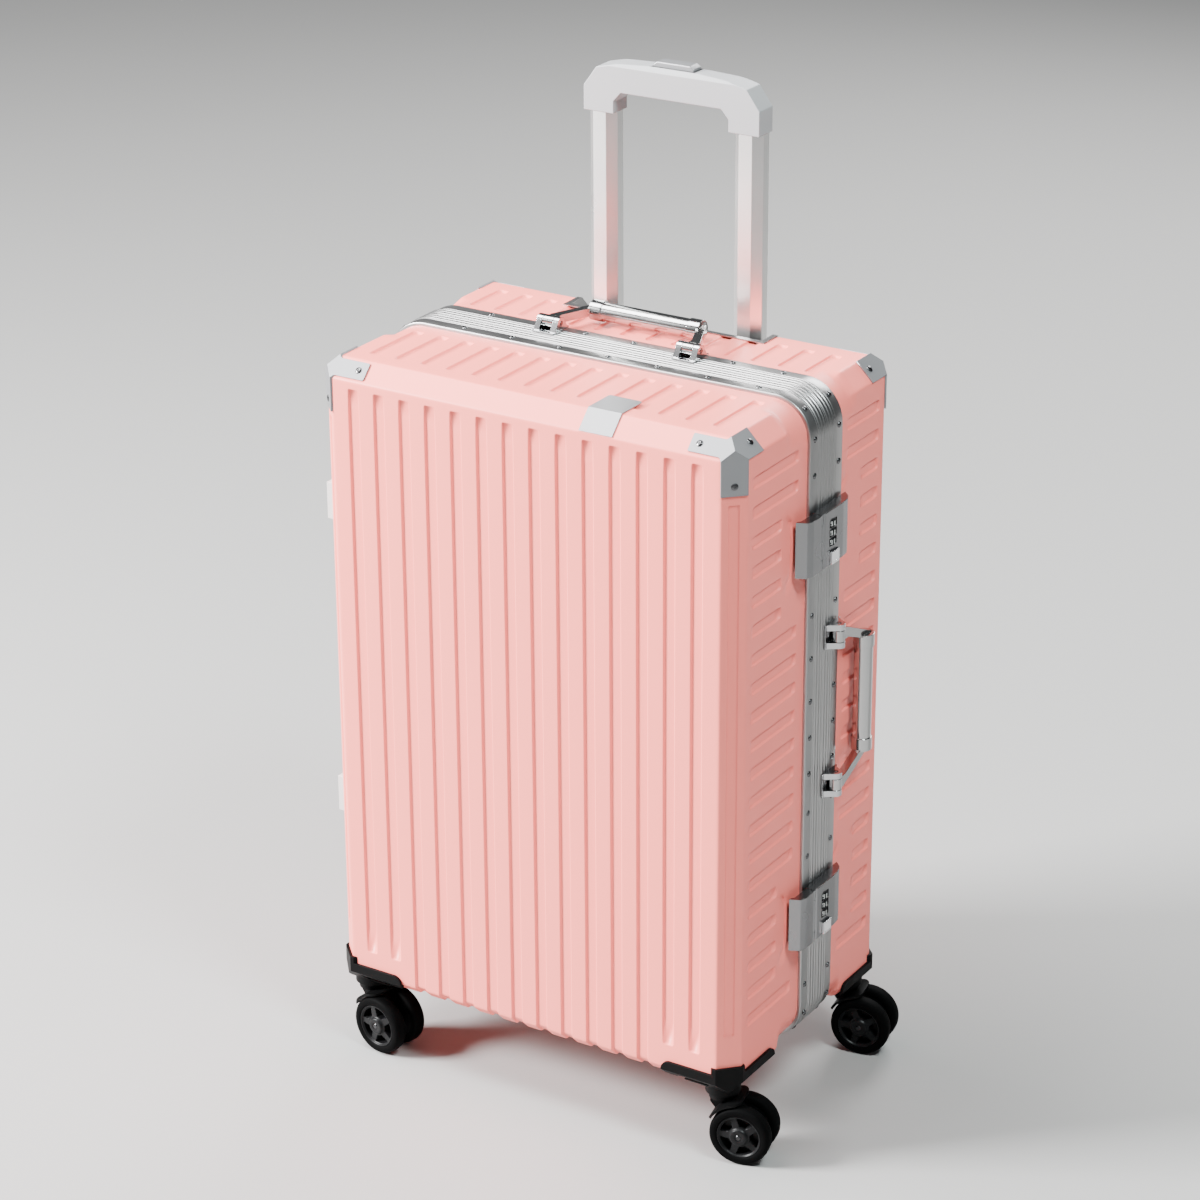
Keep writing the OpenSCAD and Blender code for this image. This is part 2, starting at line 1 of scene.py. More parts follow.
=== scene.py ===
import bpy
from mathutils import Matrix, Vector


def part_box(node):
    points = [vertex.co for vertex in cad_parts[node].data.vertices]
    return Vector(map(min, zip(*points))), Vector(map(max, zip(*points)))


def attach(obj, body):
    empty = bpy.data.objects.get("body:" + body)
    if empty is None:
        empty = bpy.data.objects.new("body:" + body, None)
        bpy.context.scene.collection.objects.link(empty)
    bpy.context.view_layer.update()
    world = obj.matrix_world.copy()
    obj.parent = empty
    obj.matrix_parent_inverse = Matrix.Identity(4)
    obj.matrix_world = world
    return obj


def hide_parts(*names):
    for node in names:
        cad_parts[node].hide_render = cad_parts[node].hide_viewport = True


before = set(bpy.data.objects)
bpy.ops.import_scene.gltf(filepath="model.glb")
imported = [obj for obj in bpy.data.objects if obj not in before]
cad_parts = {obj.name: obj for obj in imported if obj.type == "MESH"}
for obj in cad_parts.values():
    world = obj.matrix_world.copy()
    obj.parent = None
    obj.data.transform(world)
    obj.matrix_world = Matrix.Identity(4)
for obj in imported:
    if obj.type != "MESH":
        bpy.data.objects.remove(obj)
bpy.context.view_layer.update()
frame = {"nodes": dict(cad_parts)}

from math import cos, pi, radians, sin, sqrt

import bmesh
import bpy
import numpy as np
from bpy.props import FloatProperty, FloatVectorProperty, IntProperty, PointerProperty
from bpy.types import Operator, Panel, PropertyGroup
from mathutils import Matrix, Vector

bl_info = {
    "name": "Hard Shell Suitcase",
    "version": (1, 0, 0),
    "blender": (4, 5, 0),
    "location": "3D View > Sidebar > Suitcase",
    "description": "Builds the finished pieces of a hard shell suitcase on wheels over its fixed frame",
    "category": "Object",
}

# ---------------------------------------------------------------- sizes
# Millimetres. The case stands on z = 0, its face looks towards -Y and its handle side towards +X.
MM = 0.001


def extent(node):
    """Lowest and highest corner of a frame part, in millimetres."""
    low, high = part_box(node)
    return np.array(low) / MM, np.array(high) / MM


SHELL_LOW, SHELL_HIGH = extent("front_shell")
HALF_W = SHELL_HIGH[0]
FACE_Y = SHELL_LOW[1]
BASE_Z, TOP_Z = SHELL_LOW[2], SHELL_HIGH[2]
EDGE_CUT, FOOT_CUT, RIM_R = 17.0, 10.0, 35.0   # sloped edges, lower edges, and the radius of the rim's corners
WALL = 3.0                     # thickness of the shells
JOINT_Y = 10.0                 # where the two halves meet
FRAME_OUT = 3.5                # how far the frame stands out of the shells
LOCK_Z = (BASE_Z + 137, BASE_Z + 517)
LOCK_HALF = 27.0               # half the height of a lock
SIDE_HANDLE_Z = BASE_Z + 334.5
BRACKET_OFF = 76.0             # from the middle of a carry handle to its brackets
STEM_X, STEM_Y, TRAIL = 202.0, 120.0, 22.0
WHEEL_R, WHEEL_W, WHEEL_OFF = 30.0, 15.5, 6.0
# for each castor its side, its end, and the turn of its arm in degrees
CASTORS = {"front_left": (-1, -1, -9), "front_right": (1, -1, 12), "back_left": (-1, 1, 188), "back_right": (1, 1, 10)}


# ---------------------------------------------------------------- settings
def colour_property(name, description, default):
    """A colour that a user can change."""
    return FloatVectorProperty(name=name, description=description, subtype="COLOR", size=3, min=0, max=1,
                               default=default)


class ShellSettings(PropertyGroup):
    """Sizes and colours of the two shells."""
    colour: colour_property("Shell colour", "Colour of the moulded shells", (1.0, 0.215, 0.178))
    groove_depth: FloatProperty(name="Groove depth", description="Depth of the moulded grooves in millimetres",
                                default=2.3, min=0.5, max=2.4)
    groove_width: FloatProperty(name="Groove width", description="Width of each groove halfway down its walls",
                                default=11, min=8, max=12)
    groove_pitch: FloatProperty(name="Groove pitch", description="Spacing of the grooves, as in the frame",
                                default=28.3, min=28, max=28.5)
    groove_wall: FloatProperty(name="Groove wall", description="Width of a groove's sloping wall",
                               default=2.3, min=1.5, max=4)
    rounding: FloatProperty(name="Edge rounding", description="Softness of the edges round the faces",
                            default=0.5, min=0.2, max=1)


class MetalSettings(PropertyGroup):
    """Colours of the metal fittings."""
    frame: colour_property("Frame metal", "Satin metal of the frame", (0.34, 0.335, 0.335))
    guard: colour_property("Guard metal", "Cast metal of the corner guards", (0.25, 0.25, 0.26))
    lock: colour_property("Lock metal", "Dark satin metal of the locks", (0.23, 0.23, 0.235))
    tube: colour_property("Tube metal", "Pale satin metal of the pull handle", (0.90, 0.89, 0.88))


class TrimSettings(PropertyGroup):
    """Colours of plastics and cloth."""
    castor: colour_property("Castor plastic", "Moulded black of castors and housings", (0.0022, 0.0022, 0.0023))
    tyre: colour_property("Tyre", "Charcoal of the wheel treads", (0.0018, 0.0018, 0.0019))
    grip: colour_property("Grip", "Pale grey of the pull handle's grip", (0.34, 0.34, 0.35))
    lining: colour_property("Lining", "Cloth inside the case", (0.30, 0.22, 0.21))
    stitches: IntProperty(name="Stitches in a seam", description="Stitches along each side of a strap seam",
                          default=9, min=4, max=16)


class StageSettings(PropertyGroup):
    """Floor, light and camera."""
    floor: colour_property("Floor", "Colour of the plain floor", (0.35, 0.345, 0.34))
    key: FloatProperty(name="Key light", description="Strength of the main soft light", default=880, min=0,
                       unit="POWER")
    fill: FloatProperty(name="Fill light", description="Strength of the even light of the room", default=0.15, min=0)
    azimuth: FloatProperty(name="Camera azimuth", description="Turn of the camera round the case",
                           default=radians(32.20), subtype="ANGLE")
    elevation: FloatProperty(name="Camera elevation", description="Angle of the camera above level",
                             default=radians(23.28), subtype="ANGLE")
    roll: FloatProperty(name="Camera roll", description="Tilt of the camera", default=radians(-0.35), subtype="ANGLE")
    distance: FloatProperty(name="Camera distance", description="Distance from the camera to the case",
                            default=3.378, min=1, unit="LENGTH")


def settings(group):
    """One of the scene's groups of sizes and colours."""
    return getattr(bpy.context.scene, group)


# ---------------------------------------------------------------- meshes
def add_object(name, mesh):
    """A new object in the scene."""
    obj = bpy.data.objects.new(name, mesh)
    bpy.context.scene.collection.objects.link(obj)
    return obj


def mesh_piece(name, points, faces, sharp=None):
    """A mesh from points in millimetres, smooth all over or up to a sharp angle in degrees."""
    mesh = bpy.data.meshes.new(name)
    mesh.from_pydata((np.asarray(points, float) * MM).tolist(), [], [list(map(int, f)) for f in faces])
    mesh.shade_smooth()
    if sharp:
        mesh.set_sharp_from_angle(angle=radians(sharp))
    return add_object(name, mesh)


def bm_piece(name, bm, sharp=None):
    """A mesh object from a bmesh in metres, which is freed."""
    mesh = bpy.data.meshes.new(name)
    bm.to_mesh(mesh)
    bm.free()
    mesh.shade_smooth()
    if sharp:
        mesh.set_sharp_from_angle(angle=radians(sharp))
    return add_object(name, mesh)


def even_normals(obj):
    """Shade by face area, so that flats look flat right up to their rounded edges."""
    mesh = obj.data
    count = len(mesh.polygons)
    area, normal = np.empty(count), np.empty(count * 3)
    mesh.polygons.foreach_get("area", area)
    mesh.polygons.foreach_get("normal", normal)
    start, total = np.empty(count, int), np.empty(count, int)
    mesh.polygons.foreach_get("loop_start", start)
    mesh.polygons.foreach_get("loop_total", total)
    corner = np.empty(len(mesh.loops), int)
    mesh.loops.foreach_get("vertex_index", corner)
    owner = np.repeat(np.arange(count), total)
    weighted = (normal.reshape(-1, 3) * area[:, None])[owner]
    out = np.zeros((len(mesh.vertices), 3))
    np.add.at(out, corner, weighted)
    out /= np.maximum(np.linalg.norm(out, axis=1), 1e-20)[:, None]
    mesh.normals_split_custom_set_from_vertices(out.tolist())


def made_whole(bm):
    """Join the loose triangles of a frame part and make each of its flats one face."""
    bmesh.ops.remove_doubles(bm, verts=bm.verts, dist=2e-6)
    bmesh.ops.dissolve_limit(bm, angle_limit=radians(1.2), verts=bm.verts, edges=bm.edges)


def hard_edges(bm, angle):
    """Edges between two faces that meet at more than an angle in degrees."""
    return [e for e in bm.edges if len(e.link_faces) == 2 and e.calc_face_angle(0) > radians(angle)]


def round_edges(bm, edges, width, segments):
    """Round edges by a width in millimetres."""
    bmesh.ops.bevel(bm, geom=edges, offset=width * MM, offset_type="OFFSET", segments=segments, profile=0.5,
                    affect="EDGES", clamp_overlap=True)


def trimmed(bm, outline, matrix, low, high):
    """Keep what lies inside an upright prism, given its outline, its frame and its lowest and highest level."""
    made = bpy.data.meshes.new("kept")
    bm.to_mesh(made)
    piece = add_object("kept", made)
    count = len(outline)
    points = [tuple(matrix @ Vector((x, y, z))) for z in (low, high) for x, y in outline]
    faces = [list(range(count))[::-1], [count + k for k in range(count)]]
    faces += [[k, (k + 1) % count, count + (k + 1) % count, count + k] for k in range(count)]
    cutter = mesh_piece("cutter", points, faces)
    cut = piece.modifiers.new("Trim", "BOOLEAN")
    cut.operation, cut.solver, cut.object = "INTERSECT", "EXACT", cutter
    result = bpy.data.meshes.new_from_object(piece.evaluated_get(bpy.context.evaluated_depsgraph_get()))
    bm.clear()
    bm.from_mesh(result)
    for obj in (piece, cutter):
        mesh = obj.data
        bpy.data.objects.remove(obj)
        bpy.data.meshes.remove(mesh)
    bpy.data.meshes.remove(result)


SOFT_ANGLE = 28                # edges sharper than this, in degrees, are rounded


def softened(name, node, width, segments=2, corners=None, corner=0.0, trim=None):
    """A finished copy of a frame part: flats made whole and every hard edge rounded by width millimetres.

    A trim first cuts the copy to an outline; the edges that corners() picks are then rounded by corner
    millimetres before the rest."""
    bm = bmesh.new()
    bm.from_mesh(frame["nodes"][node].data)
    made_whole(bm)
    if trim:
        trimmed(bm, *trim)
        made_whole(bm)
    if corners:
        round_edges(bm, [e for e in bm.edges if len(e.link_faces) == 2 and corners(e)], corner, 3)
    round_edges(bm, hard_edges(bm, SOFT_ANGLE), width, segments)
    obj = bm_piece(name, bm)
    even_normals(obj)
    return obj


def place(obj, body, slot, material, *nodes):
    """Give a piece its finish and the body that it rides on, and hide the frame parts that it stands for."""
    obj.data.materials.clear()
    obj.data.materials.append(material)
    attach(obj, body)
    if nodes:
        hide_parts(*nodes)
    return obj


def fitting(name, node, body, slot, material, width, **more):
    """A softened copy of one frame part, put on its body in place of it."""
    return place(softened(name, node, width, **more), body, slot, material, node)


def dress(material, node):
    """Put a finish on a frame part that is kept as it is."""
    obj = frame["nodes"][node]
    if not obj.material_slots:
        obj.data.materials.append(None)
    for material_slot in obj.material_slots:
        material_slot.link = "OBJECT"
        material_slot.material = material


def lathe(profile, axis, steps):
    """Points and faces of a profile [(radius, height)] turned round an axis through the origin, poles closed."""
    axis = Vector(axis).normalized()
    side = axis.orthogonal().normalized()
    other = axis.cross(side)
    points, faces, rows = [], [], []
    for radius, height in profile:
        centre = axis * height
        if radius < 1e-6:
            rows.append([len(points)] * steps)
            points.append(centre)
            continue
        rows.append(range(len(points), len(points) + steps))
        for k in range(steps):
            turn = 2 * pi * k / steps
            points.append(centre + (side * cos(turn) + other * sin(turn)) * radius)
    for low, high in zip(rows, rows[1:]):
        for k in range(steps):
            ring = [low[k], low[(k + 1) % steps], high[(k + 1) % steps], high[k]]
            ring = [v for i, v in enumerate(ring) if v != ring[i - 1]]
            if len(ring) > 2:
                faces.append(ring)
    return [list(p) for p in points], faces


def loft(rings, closed=True):
    """Points and faces through closed sections of equal length, in a loop or, where it isn't closed, with two ends."""
    rings = [np.asarray(r, float) for r in rings]
    n, count = len(rings[0]), len(rings)
    points = np.concatenate(rings)
    faces = []
    for i in range(count if closed else count - 1):
        a, b = i * n, ((i + 1) % count) * n
        faces += [[a + k, a + (k + 1) % n, b + (k + 1) % n, b + k] for k in range(n)]
    if not closed:
        faces += [list(range(n))[::-1], [(count - 1) * n + k for k in range(n)]]
    return points, faces


def outward(obj):
    """Turn every face outwards."""
    bm = bmesh.new()
    bm.from_mesh(obj.data)
    bmesh.ops.remove_doubles(bm, verts=bm.verts, dist=1e-7)
    bmesh.ops.recalc_face_normals(bm, faces=bm.faces)
    bm.to_mesh(obj.data)
    bm.free()
    return obj


def joined(parts):
    """One point and face list from several."""
    points, faces = [], []
    for p, f in parts:
        base = len(points)
        points += [list(q) for q in p]
        faces += [[v + base for v in face] for face in f]
    return points, faces


# ---------------------------------------------------------------- finishes
def add_node(tree, kind, inputs=None, **props):
    """A node with its properties set and its inputs set or linked, by name or number."""
    made = tree.nodes.new(kind)
    for key, value in props.items():
        setattr(made, key, value)
    for key, value in (inputs or {}).items():
        if isinstance(value, bpy.types.NodeSocket):
            tree.links.new(value, made.inputs[key])
        else:
            made.inputs[key].default_value = value
    return made


def rgba(colour, gain=1.0):
    """A colour with its alpha, made lighter or darker by gain."""
    return tuple(min(1.0, c * gain) for c in colour) + (1.0,)


def finish_material(name, colour, roughness=0.4, metallic=0.0, vary=0.04, rough_vary=0.06, grain=700.0,
                    bump=0.15, depth=0.00005, blotch=9.0, stretch=(1, 1, 1), coat=0.0, specular=0.5, sheen=0.0,
                    weave=None):
    """A procedural finish: soft changes of colour, uneven gloss and a fine grain, stretched where it is brushed."""
    name += "_finish"
    made = bpy.data.materials.get(name)
    if made:
        return made
    made = bpy.data.materials.new(name)
    made.use_nodes = True
    tree = made.node_tree
    shader = tree.nodes["Principled BSDF"]
    spot = add_node(tree, "ShaderNodeTexCoord").outputs["Object"]
    laid = add_node(tree, "ShaderNodeMapping", {"Vector": spot, "Scale": stretch}).outputs["Vector"]
    broad = add_node(tree, "ShaderNodeTexNoise", {"Vector": spot, "Scale": blotch, "Detail": 3.0}).outputs["Fac"]
    fine = add_node(tree, "ShaderNodeTexNoise", {"Vector": laid, "Scale": grain, "Detail": 2.0}).outputs["Fac"]
    height = fine
    if weave:
        threads = [add_node(tree, "ShaderNodeTexWave", {"Vector": spot, "Scale": weave},
                            bands_direction=way).outputs["Fac"] for way in "XYZ"]
        crossed = add_node(tree, "ShaderNodeMath", {0: threads[0], 1: threads[2]}, operation="MULTIPLY").outputs[0]
        crossed = add_node(tree, "ShaderNodeMath", {0: crossed, 1: threads[1]}, operation="MAXIMUM").outputs[0]
        height = add_node(tree, "ShaderNodeMath", {0: crossed, 1: fine}, operation="ADD").outputs[0]
    mixed = add_node(tree, "ShaderNodeMix", {"Factor": broad}, data_type="RGBA")
    mixed.inputs[6].default_value = rgba(colour, 1 - vary)
    mixed.inputs[7].default_value = rgba(colour, 1 + vary)
    toned = add_node(tree, "ShaderNodeMix", {"Factor": height}, data_type="RGBA", blend_type="MULTIPLY")
    tree.links.new(mixed.outputs[2], toned.inputs[6])
    low = 1 - vary * (3 if weave else 1)
    toned.inputs[7].default_value = (low, low, low, 1)
    tree.links.new(toned.outputs[2], shader.inputs["Base Color"])
    rough = add_node(tree, "ShaderNodeMapRange", {"Value": broad, 1: 0.3, 2: 0.7, 3: max(0.02, roughness - rough_vary),
                                                 4: min(1.0, roughness + rough_vary)}).outputs[0]
    tree.links.new(rough, shader.inputs["Roughness"])
    bumped = add_node(tree, "ShaderNodeBump", {"Height": height, "Strength": bump, "Distance": depth})
    tree.links.new(bumped.outputs["Normal"], shader.inputs["Normal"])
    shader.inputs["Metallic"].default_value = metallic
    shader.inputs["Specular IOR Level"].default_value = specular
    shader.inputs["Coat Weight"].default_value = coat
    shader.inputs["Coat Roughness"].default_value = 0.25
    shader.inputs["Sheen Weight"].default_value = sheen
    return made


def shell_plastic():
    return finish_material("moulded_shell", settings("case_shell").colour, 0.42, vary=0.012, rough_vary=0.05,
                           grain=520, bump=0.10, depth=0.00006, blotch=5, specular=0.45)


def frame_metal():
    return finish_material("satin_frame_metal", settings("case_metal").frame, 0.34, 1.0, vary=0.03, grain=60,
                           stretch=(0.06, 30, 0.06), bump=0.12, depth=0.00004)


def guard_metal():
    return finish_material("cast_guard_metal", settings("case_metal").guard, 0.42, 0.5, vary=0.05, grain=900,
                           bump=0.12, depth=0.00004)


def plate_metal():
    return finish_material("brushed_plate_metal", (0.28, 0.28, 0.29), 0.38, 0.55, grain=60, stretch=(0.08, 20, 20),
                           bump=0.12, depth=0.00004)


def rivet_steel():
    return finish_material("rivet_steel", (0.13, 0.13, 0.135), 0.24, 1.0, grain=900, bump=0.08)


def handle_metal():
    return finish_material("polished_handle_metal", (0.42, 0.418, 0.415), 0.15, 1.0, vary=0.02, grain=400,
                           rough_vary=0.04, bump=0.05, depth=0.00003)


def bracket_metal():
    return finish_material("cast_bracket_metal", (0.50, 0.50, 0.51), 0.14, 1.0, vary=0.03, grain=500, bump=0.12,
                           depth=0.00006)


def lock_metal():
    return finish_material("lock_metal", settings("case_metal").lock, 0.24, 1.0, vary=0.03, grain=60,
                           stretch=(20, 20, 0.08), bump=0.07, depth=0.00003)


def chrome():
    return finish_material("bright_chrome", (0.85, 0.85, 0.86), 0.08, 1.0, vary=0.01, rough_vary=0.03, bump=0.02)


def axle_steel():
    return finish_material("dark_axle_steel", (0.05, 0.05, 0.052), 0.3, 1.0, grain=900, bump=0.05)


def tube_metal():
    return finish_material("satin_tube_metal", settings("case_metal").tube, 0.33, 1.0, vary=0.02, grain=60,
                           stretch=(30, 30, 0.05), bump=0.10, depth=0.00004)


def grip_plastic():
    return finish_material("grip_plastic", settings("case_trim").grip, 0.45, vary=0.02, grain=900, bump=0.2,
                           depth=0.00006)


def castor_plastic():
    return finish_material("castor_plastic", settings("case_trim").castor, 0.48, vary=0.15, grain=1100, bump=0.35,
                           depth=0.00008, specular=0.07)


def tyre_rubber():
    return finish_material("tyre_tread", settings("case_trim").tyre, 0.66, vary=0.18, grain=1300, bump=0.35,
                           depth=0.00008, specular=0.03)


def black_plastic(name="dial_plastic", roughness=0.3):
    return finish_material(name, (0.005, 0.005, 0.0055), roughness, vary=0.1, grain=900, bump=0.1,
                           specular=0.14)


def pale_plastic():
    return finish_material("foot_plastic", (0.62, 0.62, 0.60), 0.4, vary=0.03, grain=800, bump=0.15)


def seal_rubber():
    return finish_material("seal_rubber", (0.02, 0.02, 0.02), 0.7, vary=0.15, grain=900, bump=0.3)


def lining_cloth():
    return finish_material("lining_cloth", settings("case_trim").lining, 0.78, vary=0.06, grain=1500, bump=0.5,
                           depth=0.0002, blotch=14, weave=330, sheen=0.35, specular=0.25)


def webbing():
    return finish_material("strap_webbing", (0.035, 0.032, 0.032), 0.75, vary=0.12, grain=1200, bump=0.6,
                           depth=0.0003, weave=210, sheen=0.3, specular=0.25)


def digit_paint():
    return finish_material("digit_paint", (0.82, 0.82, 0.80), 0.5, vary=0.02, bump=0.05)


def thread():
    return finish_material("strap_thread", (0.10, 0.09, 0.09), 0.7, vary=0.1, grain=2500, bump=0.4)


# ---------------------------------------------------------------- shells
# A half is worked out as the front one, with its face towards -Y; the back one is its mirror image.
# Along Y: step is where its sloped corners have turned into the rounded rim, rim where the shell ends, long where the
# grooves end and lock where they end beside a lock; a scoop at a lock has its place (y, z) and its breadth.
GROOVES, SIDE_GROOVES = 14, 20
HALVES = {"front": {"turn": 1, "step": -45.0, "rim": -5.0, "long": -35.0, "lock": -64.0,
                    "scoops": ((-49.0, -30.0, 5.5), (-48.0, 27.0, 3.0))},
          "back": {"turn": -1, "step": -58.0, "rim": -25.0, "long": -56.0, "lock": -84.0,
                   "scoops": ((-47.0, 31.0, 3.2), (-46.0, -28.0, 4.5))}}
LAST_X, FIRST_ROW, LAST_ROW = 203.5, BASE_Z + 14, TOP_Z - 21.5   # ends of the even part of a half's grid
FADE = 15.0                    # length over which the sloped corners turn into the rounded rim
SLOT_Y, SLOT_HALF, SLOT_WALL = -46.6, 29.0, 1.2   # narrow slot in the shell along the edge of each latch
DIP = 2.3                      # depth of those slots and of the scoops at their ends
POCKET_X, POCKET_DEPTH, POCKET_DROP = 108.2, 40.2, 46.2   # opening in the back shell for the pull handle


def smooth_step(t):
    """0 to 1 with soft ends."""
    t = np.clip(t, 0, 1)
    return t * t * (3 - 2 * t)


def soft_max(parts, r):
    """The largest of several fields, with the edges between them rounded by about r."""
    parts = np.stack(parts)
    top = parts.max(0)
    return top + r * np.log(np.exp((parts - top) / r).sum(0))


def half_field(p, step, r, face=None):
    """How far points lie outside a half's smooth form, without its grooves."""
    face = FACE_Y if face is None else face
    x, y, z = np.abs(p[:, 0]), p[:, 1], p[:, 2]
    a, b, t, u = HALF_W - x, y - face, TOP_Z - z, z - BASE_Z
    s = sqrt(0.5)
    cut = soft_max([-a, -t, -u, (EDGE_CUT - a - t) * s, (FOOT_CUT - a - u) * s], r)
    q0 = x - (HALF_W - RIM_R)
    q1 = np.abs(z - (TOP_Z + BASE_Z) / 2) - ((TOP_Z - BASE_Z) / 2 - RIM_R)
    rim = np.hypot(np.maximum(q0, 0), np.maximum(q1, 0)) + np.minimum(np.maximum(q0, q1), 0) - RIM_R
    w = smooth_step((y - (step - FADE)) / FADE)
    side = cut * (1 - w) + rim * w
    return soft_max([side, -b, (EDGE_CUT - a - b) * s, (EDGE_CUT - t - b) * s, (FOOT_CUT - u - b) * s], r)


def slope(field, p, h=0.04):
    """Gradient of a field at points."""
    out = np.empty_like(p)
    for k in range(3):
        step = np.zeros(3)
        step[k] = h
        out[:, k] = (field(p + step) - field(p - step)) / (2 * h)
    return out


def slot_shape(u, v, hu, hv, wall, radius=3.4):
    """1 inside a rounded slot, 0 outside it, with a soft wall between."""
    qu, qv = np.abs(u) - hu + radius, np.abs(v) - hv + radius
    d = np.hypot(np.maximum(qu, 0), np.maximum(qv, 0)) + np.minimum(np.maximum(qu, qv), 0) - radius
    return smooth_step(0.5 - d / wall)


def groove_x(i):
    """Middle of one of the long grooves."""
    return (i - (GROOVES - 1) / 2) * settings("case_shell").groove_pitch


def groove_z(i):
    """Middle of one of the short grooves at the sides, counted from the top."""
    return TOP_Z - 43.5 - i * settings("case_shell").groove_pitch


def beside_lock(z):
    """Whether a side groove has to end early to leave room for a lock."""
    return np.min([np.abs(z - lock + 11) for lock in LOCK_Z], axis=0) < 58


def span(v, low, high):
    """Offset from a span's middle, and half its length."""
    return v - (low + high) / 2, (high - low) / 2


def moulded_depth(p, half):
    """Depth of the grooves, channels and scoops below the form at points."""
    s = settings("case_shell")
    x, y, z = p.T
    a, b, t, u = HALF_W - np.abs(x), y - FACE_Y, TOP_Z - z, z - BASE_Z
    hw, wall = s.groove_width / 2, s.groove_wall
    i = np.clip(np.round(x / s.groove_pitch + (GROOVES - 1) / 2), 0, GROOVES - 1)
    across = x - groove_x(i)
    inner = (i > 1) & (i < GROOVES - 2)
    low = np.where(inner, BASE_Z - 60, BASE_Z + 35)
    along, reach = span(z, low, TOP_Z - 24.5)
    out = slot_shape(across, along, hw, reach, wall) * (b < 12)
    along, reach = span(y, FACE_Y + 35, half["long"])
    out = np.maximum(out, slot_shape(across, along, hw, reach, wall) * (t < 8))
    along, reach = span(y, FACE_Y - 60, half["long"])
    out = np.maximum(out, slot_shape(across, along, hw, reach, wall) * (u < 12) * inner)
    j = np.clip(np.round((groove_z(0) - z) / s.groove_pitch), 0, SIDE_GROOVES - 1)
    zj = groove_z(j)
    end = np.where((x > 0) & beside_lock(zj), half["lock"], half["long"])
    along, reach = span(y, FACE_Y + 27, end)
    out = np.maximum(out, slot_shape(z - zj, along, hw, reach, wall) * (a < 8)) * s.groove_depth
    across = (a - b) * sqrt(0.5)
    along, reach = span(z, BASE_Z + 58, BASE_Z + 589)
    channel = slot_shape(across, along, 4.6, reach, 1.6, 2.0) * (a + b < 26)
    out = np.maximum(out, channel * 1.9)
    for lock in LOCK_Z:
        for dy, dz, size in half["scoops"]:
            e0 = (y - dy) * sqrt(0.5) * np.sign(dz) - (z - lock - dz) * sqrt(0.5)
            e1 = (y - dy) * sqrt(0.5) * np.sign(dz) + (z - lock - dz) * sqrt(0.5)
            dent = DIP * np.exp(-(e0 / 8.5) ** 2 - (e1 / size) ** 2) * (x > 0) * (a < 12)
            out = np.maximum(out, dent)
        if half["turn"] > 0:
            trench = slot_shape(y - SLOT_Y, z - lock, 1.9, SLOT_HALF, SLOT_WALL, 1.0) * (x > 0) * (a < 12)
            out = np.maximum(out, trench * DIP)
    return out


def spaced(keep, more, least=0.5):
    """Sorted values: all that must be kept, and the others that aren't too close to one already taken."""
    out = sorted(set(round(v, 4) for v in keep))
    for v in sorted(more):
        if min(abs(v - w) for w in out) >= least:
            out.append(v)
    return sorted(out)


def soft_edge(*edges, wall=None):
    """Places across the soft wall at each edge."""
    wall = wall or settings("case_shell").groove_wall
    return [e + k * wall for e in edges for k in (-0.52, -0.2, 0.2, 0.52)]


def corner_ends(b, cut, level):
    """Ends of the corner cut at depth b: how far in from the side, and how far in from the top or bottom."""
    a0, c0 = max(0.0, EDGE_CUT - b), max(0.0, level - b)
    if a0 + c0 >= cut:
        return (a0, c0), (a0, c0)
    return (cut - c0, c0), (a0, cut - a0)


NEAR_EDGE = (0.4, 0.75, 0.93, 1.0)
ACROSS_CUT = (0.03, 0.09, 0.2, 0.35, 0.5, 0.65, 0.8, 0.91, 0.97)


